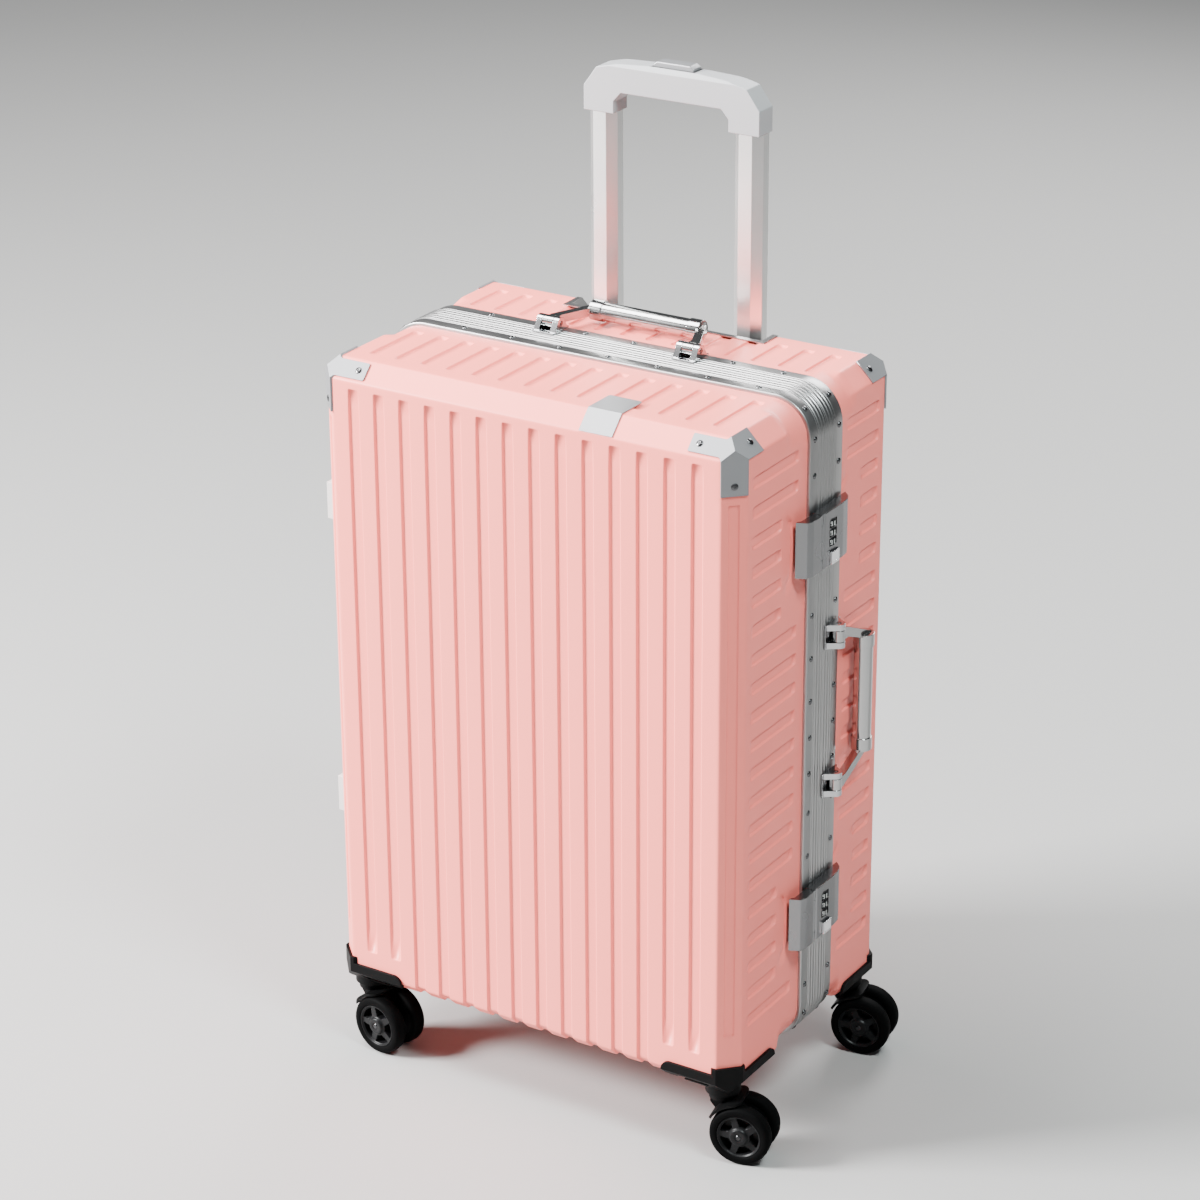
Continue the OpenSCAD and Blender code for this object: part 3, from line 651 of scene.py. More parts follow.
def half_grid(xs, zs, zs_face, depths, face=None):
    """Points and faces over a half's sharp form, face and walls, open at its rim."""
    face = FACE_Y if face is None else face
    points, faces, loops = [], [], []
    xs, zs = list(xs), list(zs)

    def full_x(end):
        more = [xs[-1] + (end - xs[-1]) * f for f in NEAR_EDGE]
        return [-v for v in more[::-1]] + xs + more

    def full_z(low, high, rows):
        return ([rows[0] + (low - rows[0]) * f for f in NEAR_EDGE[::-1]] + list(rows)
                + [rows[-1] + (high - rows[-1]) * f for f in NEAR_EDGE])

    for b in depths:
        (ta, tc), (sa, sc) = corner_ends(b, EDGE_CUT, EDGE_CUT)
        (ba, bc), (_, lc) = corner_ends(b, FOOT_CUT, FOOT_CUT)
        y, side = face + b, HALF_W - sa
        z_low, z_high = BASE_Z + lc, TOP_Z - sc
        low_z, high_z = BASE_Z + bc, TOP_Z - tc
        bottom = [(x, low_z) for x in full_x(HALF_W - ba)]
        right = [(side, z) for z in full_z(z_low, z_high, zs)]
        top = [(x, high_z) for x in full_x(HALF_W - ta)[::-1]]
        left = [(-side, z) for z in full_z(z_low, z_high, zs)[::-1]]
        ring = []
        for here, after in ((bottom, right), (right, top), (top, left), (left, bottom)):
            (x0, z0), (x1, z1) = here[-1], after[0]
            ring += here + [(x0 + (x1 - x0) * f, z0 + (z1 - z0) * f) for f in ACROSS_CUT]
        loops.append(len(points))
        points += [(x, y, z) for x, z in ring]
    count = len(ring)
    for a, b in zip(loops, loops[1:]):
        faces += [[a + k, b + k, b + (k + 1) % count, a + (k + 1) % count] for k in range(count)]
    # the face patch inside the first loop
    nx, nz = len(bottom), len(right)
    gap = len(ACROSS_CUT)
    at_bottom = list(range(nx))
    at_right = [nx + gap + k for k in range(nz)]
    at_top = [nx + nz + 2 * gap + k for k in range(nx)][::-1]
    at_left = [2 * nx + nz + 3 * gap + k for k in range(nz)][::-1]
    wanted = set(round(z, 4) for z in zs_face)
    rows = [k for k, z in enumerate(zs, 4) if round(z, 4) in wanted]
    rows = [0, 1, 2, 3] + rows + [nz - 4, nz - 3, nz - 2, nz - 1]
    x_all = [p[0] for p in points[:nx]]
    z_all = [points[k][2] for k in at_right]
    table = {}
    for r in rows:
        for c in range(nx):
            if r == 0:
                table[r, c] = at_bottom[c]
            elif r == nz - 1:
                table[r, c] = at_top[c]
            elif c == 0:
                table[r, c] = at_left[r]
            elif c == nx - 1:
                table[r, c] = at_right[r]
            else:
                table[r, c] = len(points)
                points.append((x_all[c], face, z_all[r]))
    for r0, r1 in zip(rows, rows[1:]):
        for c in range(nx - 1):
            ring = [table[r0, c]]
            if c == nx - 2:
                ring += [at_right[k] for k in range(r0, r1 + 1)]
            else:
                ring += [table[r0, c + 1], table[r1, c + 1]]
            ring.append(table[r1, c])
            if c == 0:
                ring += [at_left[k] for k in range(r1 - 1, r0, -1)]
            faces.append(ring)
    return np.array(points), faces


def settle(p, field, target):
    """Move points along the field's slope until it has the target value."""
    p = p.copy()
    for _ in range(6):
        g = slope(field, p)
        p -= ((field(p) - target) / np.maximum((g * g).sum(1), 1e-3))[:, None] * g
    return p


def bridge_open_edges(bm, groups):
    """Close the wall between matching open loops; each group says which open edges belong to one pair."""
    for belongs in groups:
        edges = [e for e in bm.edges if len(e.link_faces) == 1 and belongs((e.verts[0].co + e.verts[1].co) / 2 / MM)]
        bmesh.ops.bridge_loops(bm, edges=edges)


def two_skins(outer, faces, inner, inner_faces, turn):
    """A mesh of an outer skin and an inner one that faces the other way; the back half's is mirrored."""
    base = len(outer)
    points = np.concatenate([outer, inner])
    points[:, 1] *= turn
    faces = faces + [[v + base for v in f[::-1]] for f in inner_faces]
    if turn < 0:
        faces = [f[::-1] for f in faces]
    bm = bmesh.new()
    verts = [bm.verts.new(co) for co in (points * MM).tolist()]
    for f in faces:
        bm.faces.new([verts[k] for k in f])
    bmesh.ops.remove_doubles(bm, verts=bm.verts, dist=2e-7)
    return bm


def open_pocket(bm, inside):
    """Take out the faces of both skins where the recess of the pull handle is."""
    bmesh.ops.delete(bm, geom=[f for f in bm.faces if inside(f.calc_center_median() / MM)], context="FACES")


def half_shell(name):
    """One moulded shell: the outer form with its grooves, the plain inner form, and the wall between."""
    s, half = settings("case_shell"), HALVES[name]
    hw = s.groove_width / 2
    fine_x = [groove_x(i) + k for i in range(GROOVES) for k in soft_edge(-hw, hw)]
    xs = spaced([0, -LAST_X, LAST_X, -POCKET_X, POCKET_X], fine_x + [-198.5, 198.5, -194, 194])
    fine_z = [groove_z(i) + k for i in range(SIDE_GROOVES) for k in soft_edge(-hw, hw)]
    ends = soft_edge(TOP_Z - 24.5, BASE_Z + 35)
    stops = [FIRST_ROW, LAST_ROW, TOP_Z - POCKET_DROP, BASE_Z + 60, BASE_Z + 200, BASE_Z + 330, BASE_Z + 470]
    by_scoops = (-42, -39, -36.5, -34, -31.5, -29, -26.5, -24, -21, 20, 23, 25.5, 28, 30.5, 33, 36, 39)
    near_locks = [lock + k for lock in LOCK_Z for k in by_scoops]
    more_z = fine_z + near_locks + [BASE_Z + k for k in (18, 22, 27, 57, 59, 588, 590)]
    slot_z = [lock + k for lock in LOCK_Z for k in soft_edge(-SLOT_HALF, SLOT_HALF, wall=SLOT_WALL)]
    zs = spaced(stops + ends, more_z + slot_z, 0.2)
    depths = [0, 0.5, 1.1, 2, 3.4, 4.5, 5.2, 5.9, 6.8, 8.5, 9.4, 10, 10.6, 11.2, 11.9, 12.6, 14, 15.4, 16.3, 17, 17.7,
              18.8, 21]
    ring_ends = soft_edge(27, 35, half["lock"] - FACE_Y, half["long"] - FACE_Y)
    turn = [half["step"] - FADE * k / 4 - FACE_Y for k in range(5)]
    last = half["rim"] - FACE_Y
    lock_side = [-44 - FACE_Y + k for k in (-10, -7.5, -5, -2.5, 0, 3)]
    if name == "front":
        ring_ends += soft_edge(-48.5 - FACE_Y, -44.7 - FACE_Y, wall=SLOT_WALL) + [SLOT_Y - FACE_Y]
    depths = spaced(depths + ring_ends + [POCKET_DEPTH, last], turn + lock_side + [50, 60, 70, last - 3], 0.8)
    depths = [d for d in depths if d <= last]
    field = lambda p: half_field(p, half["step"], s.rounding)
    p, faces = half_grid(xs, zs, stops + ends, depths)
    start = settle(p, field, 0)
    outer = settle(start, field, -moulded_depth(start, half))
    coarse_x = [-POCKET_X, 0, POCKET_X] + [k * x for x in (LAST_X, 198, 191, 181) for k in (-1, 1)]
    coarse_z = [stops[0], stops[4], stops[2], stops[1]]
    near_ends = [BASE_Z + k for k in (18, 24, 32, 60)] + [TOP_Z - k for k in (27, 35)]
    q, inner_faces = half_grid(sorted(coarse_x), sorted(coarse_z + near_ends), sorted(coarse_z),
                               [0, 6, 11, 17, 23, POCKET_DEPTH] + turn[::-1] + [last])
    inner = settle(q, field, -WALL)
    inner[:, 1] = np.minimum(inner[:, 1], half["rim"])
    bm = two_skins(outer, faces, inner, inner_faces, half["turn"])
    pairs = [lambda c: abs(c.y) < abs(half["rim"]) + 1]
    if name == "back":
        open_pocket(bm, lambda c: (abs(c.x) < POCKET_X and -c.y - FACE_Y < POCKET_DEPTH
                                   and c.z > TOP_Z - POCKET_DROP))
        pairs.append(lambda c: c.z > TOP_Z - POCKET_DROP - 3 and abs(c.y) > 90)
    bridge_open_edges(bm, pairs)
    obj = bm_piece(name + "_case_shell", bm)
    co = np.array([v.co for v in obj.data.vertices]) / MM
    co[:, 1] *= half["turn"]
    deep = field(co) < -WALL + 0.3
    normal = slope(lambda v: half_field(v, half["step"], s.rounding) + moulded_depth(v, half), co, 0.08)
    normal /= np.maximum(np.linalg.norm(normal, axis=1), 1e-9)[:, None]
    normal[deep] *= -1
    normal[:, 1] *= half["turn"]
    obj.data.normals_split_custom_set_from_vertices(normal.tolist())
    return place(obj, name + "_half", "shell", shell_plastic(), name + "_shell")


class SUITCASE_OT_shells(Operator):
    """Mould the front and back shells with their grooves, sloped edges and scoops"""
    bl_idname = "suitcase.shells"
    bl_label = "Shells"

    def execute(self, context):
        half_shell("front")
        half_shell("back")
        return {"FINISHED"}


# ---------------------------------------------------------------- frame
def rim_ring(profile, per_corner=14):
    """Points and faces of a section [(y, height above the rim)] carried round the rounded rim."""
    mid, half_h = (TOP_Z + BASE_Z) / 2, (TOP_Z - BASE_Z) / 2
    rings = []
    for sx, sz, start in ((1, -1, -90), (1, 1, 0), (-1, 1, 90), (-1, -1, 180)):
        for k in range(per_corner + 1):
            a = radians(start + 90 * k / per_corner)
            cx, cz = sx * (HALF_W - RIM_R), mid + sz * (half_h - RIM_R)
            rings.append([(cx + cos(a) * (RIM_R + d), y, cz + sin(a) * (RIM_R + d)) for y, d in profile])
    return loft(rings)


def frame_section():
    """Section of the front frame half: riveted band, fine ridges, joint face and inner flange."""
    out = [(-20, 0.05), (-20, 2.5), (-19.7, 3.15), (-19.0, FRAME_OUT), (-7.2, FRAME_OUT), (-6.8, 3.1), (-6.2, 3.1),
           (-5.8, FRAME_OUT)]
    for c in (JOINT_Y - 13, JOINT_Y - 8, JOINT_Y - 3):
        out += [(c + k, FRAME_OUT + h) for k, h in ((-1.5, 0), (-1.1, 0.4), (-0.6, 0.74), (0, 0.8), (0.6, 0.74),
                                                    (1.1, 0.4), (1.5, 0))]
    out += [(9.2, FRAME_OUT), (9.65, 3.3), (9.85, 2.9), (9.85, -5.5), (9.4, -6), (-3.5, -6), (-3.95, -5.5),
            (-3.95, 0.05)]
    return out


class SUITCASE_OT_frame(Operator):
    """Bend the two metal frame halves round the shells and lay the rubber seal in the joint"""
    bl_idname = "suitcase.frame"
    bl_label = "Frame and seal"

    def execute(self, context):
        section = frame_section()
        place(outward(mesh_piece("front_metal_frame", *rim_ring(section), sharp=40)), "front_half", "frame_metal",
              frame_metal(), "front_frame")
        mirrored = []
        for y, d in section:
            mirrored.append((2 * JOINT_Y - y, d))
            if (y, d) == (9.85, 2.9):
                mirrored += [(10.15, -2), (13, -2), (13, -4), (10.15, -4)]
        place(outward(mesh_piece("back_metal_frame", *rim_ring(mirrored), sharp=40)), "back_half", "frame_metal",
              frame_metal(), "back_frame")
        seal = [(10.1, -3.4), (10.02, -3), (10.1, -2.6), (10.7, -2.05), (12.95, -2.05), (12.95, -3.95), (10.7, -3.95)]
        place(outward(mesh_piece("rubber_seal", *rim_ring(seal), sharp=40)), "back_half", "seal_rubber",
              seal_rubber(), "frame_seal")
        return {"FINISHED"}


# ---------------------------------------------------------------- what repeats
def head_tree(name, build, material, **sizes):
    """A node tree that puts one head on every point of a mesh, its +Z along the point's 'out' attribute."""
    tree = bpy.data.node_groups.new(name, "GeometryNodeTree")
    tree.interface.new_socket("Geometry", in_out="INPUT", socket_type="NodeSocketGeometry")
    for label, value in sizes.items():
        socket = tree.interface.new_socket(label, in_out="INPUT", socket_type="NodeSocketFloat")
        socket.default_value = value
    tree.interface.new_socket("Geometry", in_out="OUTPUT", socket_type="NodeSocketGeometry")
    given = tree.nodes.new("NodeGroupInput")
    head = build(tree, given)
    way = add_node(tree, "GeometryNodeInputNamedAttribute", {"Name": "out"}, data_type="FLOAT_VECTOR")
    turned = add_node(tree, "FunctionNodeAlignRotationToVector", {"Vector": way.outputs["Attribute"]}, axis="Z")
    spots = add_node(tree, "GeometryNodeInstanceOnPoints", {"Points": given.outputs["Geometry"], "Instance": head,
                                                           "Rotation": turned.outputs["Rotation"]})
    real = add_node(tree, "GeometryNodeRealizeInstances", {"Geometry": spots.outputs["Instances"]})
    shaded = add_node(tree, "GeometryNodeSetShadeSmooth", {"Geometry": real.outputs["Geometry"]})
    made = add_node(tree, "GeometryNodeSetMaterial", {"Geometry": shaded.outputs["Geometry"]})
    made.inputs["Material"].default_value = material
    end = tree.nodes.new("NodeGroupOutput")
    tree.links.new(made.outputs["Geometry"], end.inputs["Geometry"])
    return tree


def scaled(tree, mesh, x, y, z):
    """A mesh in a node tree, scaled by three of its values."""
    size = add_node(tree, "ShaderNodeCombineXYZ", {"X": x, "Y": y, "Z": z}).outputs["Vector"]
    return add_node(tree, "GeometryNodeTransform", {"Geometry": mesh, "Scale": size}).outputs["Geometry"]


def rivet_head(tree, given):
    """A low round dome."""
    ball = add_node(tree, "GeometryNodeMeshUVSphere", {"Segments": 16, "Rings": 8, "Radius": 1.0}).outputs["Mesh"]
    return scaled(tree, ball, given.outputs["Radius"], given.outputs["Radius"], given.outputs["Height"])


def screw_head(tree, given):
    """A low dome with a cross recess."""
    dome = rivet_head(tree, given)
    radius, height = given.outputs["Radius"], given.outputs["Height"]
    long = add_node(tree, "ShaderNodeMath", {0: radius, 1: 1.15}, operation="MULTIPLY").outputs[0]
    thin = add_node(tree, "ShaderNodeMath", {0: radius, 1: 0.26}, operation="MULTIPLY").outputs[0]
    for x, y in ((long, thin), (thin, long)):
        bar = add_node(tree, "GeometryNodeMeshCube", {"Size": (1, 1, 1)}).outputs["Mesh"]
        bar = scaled(tree, bar, x, y, height)
        lift = add_node(tree, "ShaderNodeCombineXYZ", {"Z": height}).outputs["Vector"]
        bar = add_node(tree, "GeometryNodeTransform", {"Geometry": bar, "Translation": lift}).outputs["Geometry"]
        dome = add_node(tree, "GeometryNodeMeshBoolean", {"Mesh 1": dome, "Mesh 2": bar},
                        operation="DIFFERENCE").outputs["Mesh"]
    return dome


def stamped(name, spots, tree, **sizes):
    """A plain mesh of the tree's heads at [(point, direction)] in millimetres."""
    mesh = bpy.data.meshes.new(name)
    mesh.from_pydata([[c * MM for c in p] for p, d in spots], [], [])
    out = mesh.attributes.new("out", "FLOAT_VECTOR", "POINT")
    out.data.foreach_set("vector", [c for p, d in spots for c in d])
    obj = add_object(name, mesh)
    nodes = obj.modifiers.new("Heads", "NODES")
    nodes.node_group = tree
    for item in tree.interface.items_tree:
        if item.in_out == "INPUT" and item.name in sizes:
            nodes[item.identifier] = sizes[item.name]
    made = bpy.data.meshes.new_from_object(obj.evaluated_get(bpy.context.evaluated_depsgraph_get()))
    obj.modifiers.remove(nodes)
    obj.data = made
    bpy.data.meshes.remove(mesh)
    made.name = name
    return obj


def rivet_spots(y, under_brackets):
    """Where the rivets sit along one half of the frame, leaving out those under hardware."""
    out = FRAME_OUT
    spots = []
    for i in range(7):
        x = (i - 3) * 53 + 11
        if not (under_brackets and abs(abs(x) - BRACKET_OFF) < 17):
            spots.append(((x, y, TOP_Z + out), (0, 0, 1)))
        spots.append(((x, y, BASE_Z - out), (0, 0, -1)))
    for rise in (27, 58, 195, 240, 281, 318, 355, 398, 441, 578, 613):
        z = BASE_Z + rise
        hinge_near = min(abs(z - lock) for lock in LOCK_Z) < 33
        bracket_near = under_brackets and abs(abs(z - SIDE_HANDLE_Z) - BRACKET_OFF) < 17
        if not hinge_near and not bracket_near:
            spots += [((s * (HALF_W + out), y, z), (s, 0, 0)) for s in (-1, 1)]
    mid, half_h = (TOP_Z + BASE_Z) / 2, (TOP_Z - BASE_Z) / 2
    for a in (45, 135, 225, 315):
        u, v = cos(radians(a)), sin(radians(a))
        at = (np.sign(u) * (HALF_W - RIM_R) + u * (RIM_R + out), y, mid + np.sign(v) * (half_h - RIM_R)
              + v * (RIM_R + out))
        spots.append((at, (u, 0, v)))
    return spots


def guard_screw_spots(turn):
    """Where the screws sit on one half's corner guards, one for each lobe."""
    c, s, out = EDGE_CUT / 2, sqrt(0.5), 1.5
    found = []
    for sx in (-1, 1):
        found.append(((sx * (HALF_W - c), FACE_Y + c, TOP_Z - 41), (sx * s, -s, 0)))
        found.append(((sx * (HALF_W - 43), FACE_Y + c, TOP_Z - c), (0, -s, s)))
        found.append(((sx * (HALF_W - c), FACE_Y + 34, TOP_Z - c), (sx * s, 0, s)))
    return [(tuple(p[k] + d[k] * out if k != 1 else turn * (p[k] + d[k] * out) for k in range(3)),
             (d[0], turn * d[1], d[2])) for p, d in found]


class SUITCASE_OT_rivets(Operator):
    """Set the rivets along the frame and the cross-head screws on the corner guards"""
    bl_idname = "suitcase.rivets"
    bl_label = "Rivets and screws"

    def execute(self, context):
        rivets = head_tree("rivet_heads", rivet_head, rivet_steel(), Radius=0.0022, Height=0.0011)
        screws = head_tree("screw_heads", screw_head, rivet_steel(), Radius=0.0032, Height=0.0012)
        for name, turn, y in (("front", 1, JOINT_Y - 22), ("back", -1, JOINT_Y + 23)):
            half = name + "_half"
            heads = stamped(name + "_rivets", rivet_spots(y, turn < 0), rivets, Radius=0.0030, Height=0.0015)
            place(heads, half, "rivet_steel", rivet_steel(), name + "_rivets_and_screws")
            heads = stamped(name + "_guard_screws", guard_screw_spots(turn), screws, Radius=0.0034, Height=0.0013)
            heads.data.set_sharp_from_angle(angle=radians(30))
            place(heads, half, "rivet_steel", rivet_steel())
        return {"FINISHED"}


# ---------------------------------------------------------------- fittings cut from the frame's own shapes
def rounded_plate(name, node, thick, corner, edge):
    """A thin plate from the frame with its outline's corners rounded, then its edges softened."""
    bm = bmesh.new()
    bm.from_mesh(frame["nodes"][node].data)
    made_whole(bm)
    round_edges(bm, [e for e in hard_edges(bm, 32) if e.calc_length() < thick * 1.25 * MM], corner, 5)
    round_edges(bm, hard_edges(bm, SOFT_ANGLE), edge, 2)
    obj = bm_piece(name, bm)
    even_normals(obj)
    return obj


class SUITCASE_OT_guards(Operator):
    """Press the metal corner guards and the blank name plate"""
    bl_idname = "suitcase.guards"
    bl_label = "Corner guards and name plate"

    def execute(self, context):
        for name in ("front", "back"):
            place(rounded_plate(name + "_guards", name + "_corner_guards", 1.5, 4.5, 0.45), name + "_half",
                  "guard_metal", guard_metal(), name + "_corner_guards")
        place(rounded_plate("blank_name_plate", "name_plate", 1.2, 3.0, 0.35), "front_half", "guard_metal",
              plate_metal(), "name_plate")
        return {"FINISHED"}


class SUITCASE_OT_hinges(Operator):
    """Make the case hinges and the four side feet"""
    bl_idname = "suitcase.hinges"
    bl_label = "Case hinges and side feet"

    def execute(self, context):
        for name in ("front", "back"):
            half = name + "_half"
            fitting(name + "_hinges", name + "_hinge_leaves", half, "lock_metal", bracket_metal(), 0.5)
            fitting(name + "_feet", name + "_side_feet", half, "foot_plastic", pale_plastic(), 1.4, segments=3)
        fitting("case_hinge_pins", "hinge_pins", "back_half", "rivet_steel", rivet_steel(), 0.5)
        return {"FINISHED"}


class SUITCASE_OT_handles(Operator):
    """Make the two carry handles with their brackets and pins"""
    bl_idname = "suitcase.handles"
    bl_label = "Carry handles"

    def execute(self, context):
        for name in ("top", "side"):
            handle = name + "_handle"
            fitting(name + "_carry_handle", handle, handle, "handle_metal", handle_metal(), 1.2, segments=3)
            fitting(name + "_brackets", handle + "_brackets", "back_half", "handle_metal", bracket_metal(), 0.6,
                    segments=3)
        fitting("carry_handle_pins", "handle_pins", "back_half", "rivet_steel", rivet_steel(), 0.5)
        return {"FINISHED"}


class SUITCASE_OT_trolley(Operator):
    """Make the pull handle: recess, tubes, grip and button"""
    bl_idname = "suitcase.trolley"
    bl_label = "Pull handle"

    def execute(self, context):
        fitting("handle_recess", "trolley_bezel", "back_half", "trolley_metal", frame_metal(), 0.45)
        fitting("sliding_tubes", "trolley_inner_tubes", "trolley", "trolley_metal", tube_metal(), 0.5)
        fitting("pull_grip", "trolley_grip", "trolley", "grip_plastic", grip_plastic(), 3.2, segments=4)
        fitting("release_button", "trolley_button", "trolley_button", "button_metal", plate_metal(), 1.2, segments=3)
        dress(tube_metal(), "trolley_outer_tubes")
        return {"FINISHED"}


# ---------------------------------------------------------------- locks
SEGMENTS = {"a": ((-1, 2), (1, 2)), "b": ((1, 2), (1, 0)), "c": ((1, 0), (1, -2)), "d": ((-1, -2), (1, -2)),
            "e": ((-1, 0), (-1, -2)), "f": ((-1, 2), (-1, 0)), "g": ((-1, 0), (1, 0))}
DIGITS = ("abcdef", "bc", "abged", "abgcd", "fgbc", "afgcd", "afgedc", "abc", "abcdefg", "abcdfg")


def dial_body(centre):
    """A number dial with ten finger grooves round it."""
    x0, y0, z0 = centre
    rows = [(1.55, -3.5), (5.5, -3.7), (6.0, -3.5), (6.2, -3.1), (6.2, 0), (6.2, 3.1), (6.0, 3.5), (5.5, 3.7),
            (1.55, 3.5)]
    steps, rings = 120, []
    for k in range(steps):
        a = 2 * pi * k / steps
        off = (np.degrees(a) - 18) % 36
        off = min(off, 36 - off)
        cut = 0.5 * np.exp(-(off / 3.2) ** 2)
        rings.append([(x0 + cos(a) * (r - cut * (r > 5)), y0 + sin(a) * (r - cut * (r > 5)), z0 + h) for r, h in rows])
    return loft(rings)


def dial_digits(centre, radius=6.2):
    """Plain numbers 0 to 9 standing a hair proud of the dial."""
    x0, y0, z0 = centre
    parts = []
    for number, strokes in enumerate(DIGITS):
        middle = 2 * pi * number / 10
        for stroke in strokes:
            (u0, v0), (u1, v1) = SEGMENTS[stroke]
            w = 0.24
            u_low, u_high = min(u0, u1) * 0.72 - w, max(u0, u1) * 0.72 + w
            v_low, v_high = min(v0, v1) * 0.92 - w, max(v0, v1) * 0.92 + w
            points = []
            for r in (radius - 0.1, radius + 0.07):
                for u, v in ((u_low, v_low), (u_high, v_low), (u_high, v_high), (u_low, v_high)):
                    a = middle + u / radius
                    points.append((x0 + cos(a) * r, y0 + sin(a) * r, z0 + v))
            faces = [(3, 2, 1, 0), (4, 5, 6, 7), (0, 1, 5, 4), (1, 2, 6, 5), (2, 3, 7, 6), (3, 0, 4, 7)]
            parts.append((points, faces))
    return joined(parts)


class SUITCASE_OT_locks(Operator):
    """Make the two combination locks: bases, latches, buttons, dials and keepers"""
    bl_idname = "suitcase.locks"
    bl_label = "Locks"

    def execute(self, context):
        def at_case_end(e):
            return all(min(abs(abs(v.co.z / MM - lock) - LOCK_HALF) for lock in LOCK_Z) < 0.05
                       and v.co.x / MM > HALF_W + 5 and v.co.y / MM > -12.2 for v in e.verts)
        fitting("lock_cases", "lock_bases", "back_half", "lock_metal", lock_metal(), 0.4, segments=3,
                corners=at_case_end, corner=1.3)
        fitting("lock_catch_plates", "lock_keepers", "front_half", "lock_metal", frame_metal(), 0.25)
        dress(rivet_steel(), "lock_pins")
        for name, lock in zip(("lower", "upper"), LOCK_Z):
            def at_end(e):
                return all(abs(abs(v.co.z / MM - lock) - LOCK_HALF) < 0.05 and v.co.x / MM > HALF_W + 5
                           for v in e.verts)
            latch, button = name + "_lock_latch", name + "_lock_button"
            fitting(name + "_latch", latch, latch, "lock_metal", lock_metal(), 0.4, segments=3, corners=at_end,
                    corner=1.3)
            fitting(name + "_button", button, button, "lock_chrome", chrome(), 0.35)
            for k in range(3):
                node = f"{name}_dial_{k + 1}"
                low, high = extent(node)
                centre = (low + high) / 2
                place(outward(mesh_piece(node + "_wheel", *dial_body(centre), sharp=50)), node, "dial_plastic",
                      black_plastic(), node)
                place(outward(mesh_piece(node + "_digits", *dial_digits(centre), sharp=30)), node, "dial_plastic",
                      digit_paint())
        return {"FINISHED"}


# ---------------------------------------------------------------- castors
def castor_place(name):
    """Matrix from a castor's own frame, its arm along +X, to the case's, in millimetres."""
    side, end, turn = CASTORS[name]
    return Matrix.Translation((side * STEM_X, end * STEM_Y, 0)) @ Matrix.Rotation(radians(turn), 4, "Z")


def carried(points, matrix):
    """Points moved from a piece's own frame to the case's."""
    return [tuple(matrix @ Vector(p)) for p in points]


def wheel_rings(rows, steps, dent=None):
    """Closed rings of [(radius, height)] rows round the local Z axis."""
    rings = []
    for k in range(steps):
        a = 2 * pi * k / steps
        rings.append([(cos(a) * r, sin(a) * r, h - (dent(r, a, h) if dent else 0)) for r, h in rows])
    return loft(rings)


TYRE_ROWS = [(21.9, 0.9), (24, 0.3), (27.3, 0.2), (28.6, 0.9), (29.5, 2.2), (30, 4.2), (30, 7.5), (30, 10.3),
             (29.5, 12.3), (28.6, 13.6), (27.2, 14.35), (25, 14.5), (22.6, 14.3), (21.9, 13.7)]
HUB_ROWS = [(3.05, 15.0), (3.05, 0.3), (8.2, 0.0), (8.6, 0.9), (21.8, 1.0), (21.8, 13.3), (21.4, 13.9), (20.8, 13.9),
            (20.3, 13.4), (19.9, 12.4), (19.3, 12.1), (18.7, 12.0), (18.1, 12.0), (17.4, 12.0), (16.4, 12.1),
            (15, 12.2), (13.6, 12.3), (12.4, 12.4), (11.6, 12.5), (11, 12.5), (10.4, 12.6), (9.6, 12.8), (8.9, 13.3),
            (8.4, 14.6), (7.8, 15.3), (7, 15.5), (3.9, 15.5)]


def wheel_cover_outline(reach=20.0, near=-11.0, far=TRAIL, radius=10.0, band=9.0):
    """Outline, seen from above, that rounds the corners of the cover over a castor's wheels."""
    found = []
    for x, turn in ((far, -90), (far, 0), (near, 90), (near, 180)):
        side = -1 if turn in (-90, 180) else 1
        middle = (x - radius if x == far else x + radius, side * (reach - radius))
        corner = [(middle[0] + radius * cos(radians(turn + a)), middle[1] + radius * sin(radians(turn + a)))
                  for a in range(0, 91, 9)]
        step = [(x, side * band), (60 if x == far else -60, side * band)]
        found += corner + step if turn in (-90, 90) else step[::-1] + corner
    return found


def spoke_gap(r, a, h):
    """Depth of the five openings between a wheel's spokes."""
    if h < 11.5 or not 10 < r < 19.6:
        return 0.0
    turn = (a + pi / 5) % (2 * pi / 5) - pi / 5
    side = 0.5 * (2 * pi / 5) * r - abs(turn) * r - 3.2 - 0.6 * (19.6 - r) / 9
    near = min(side, r - 10.4, 19.2 - r)
    return 7.5 * float(smooth_step(near / 0.9))


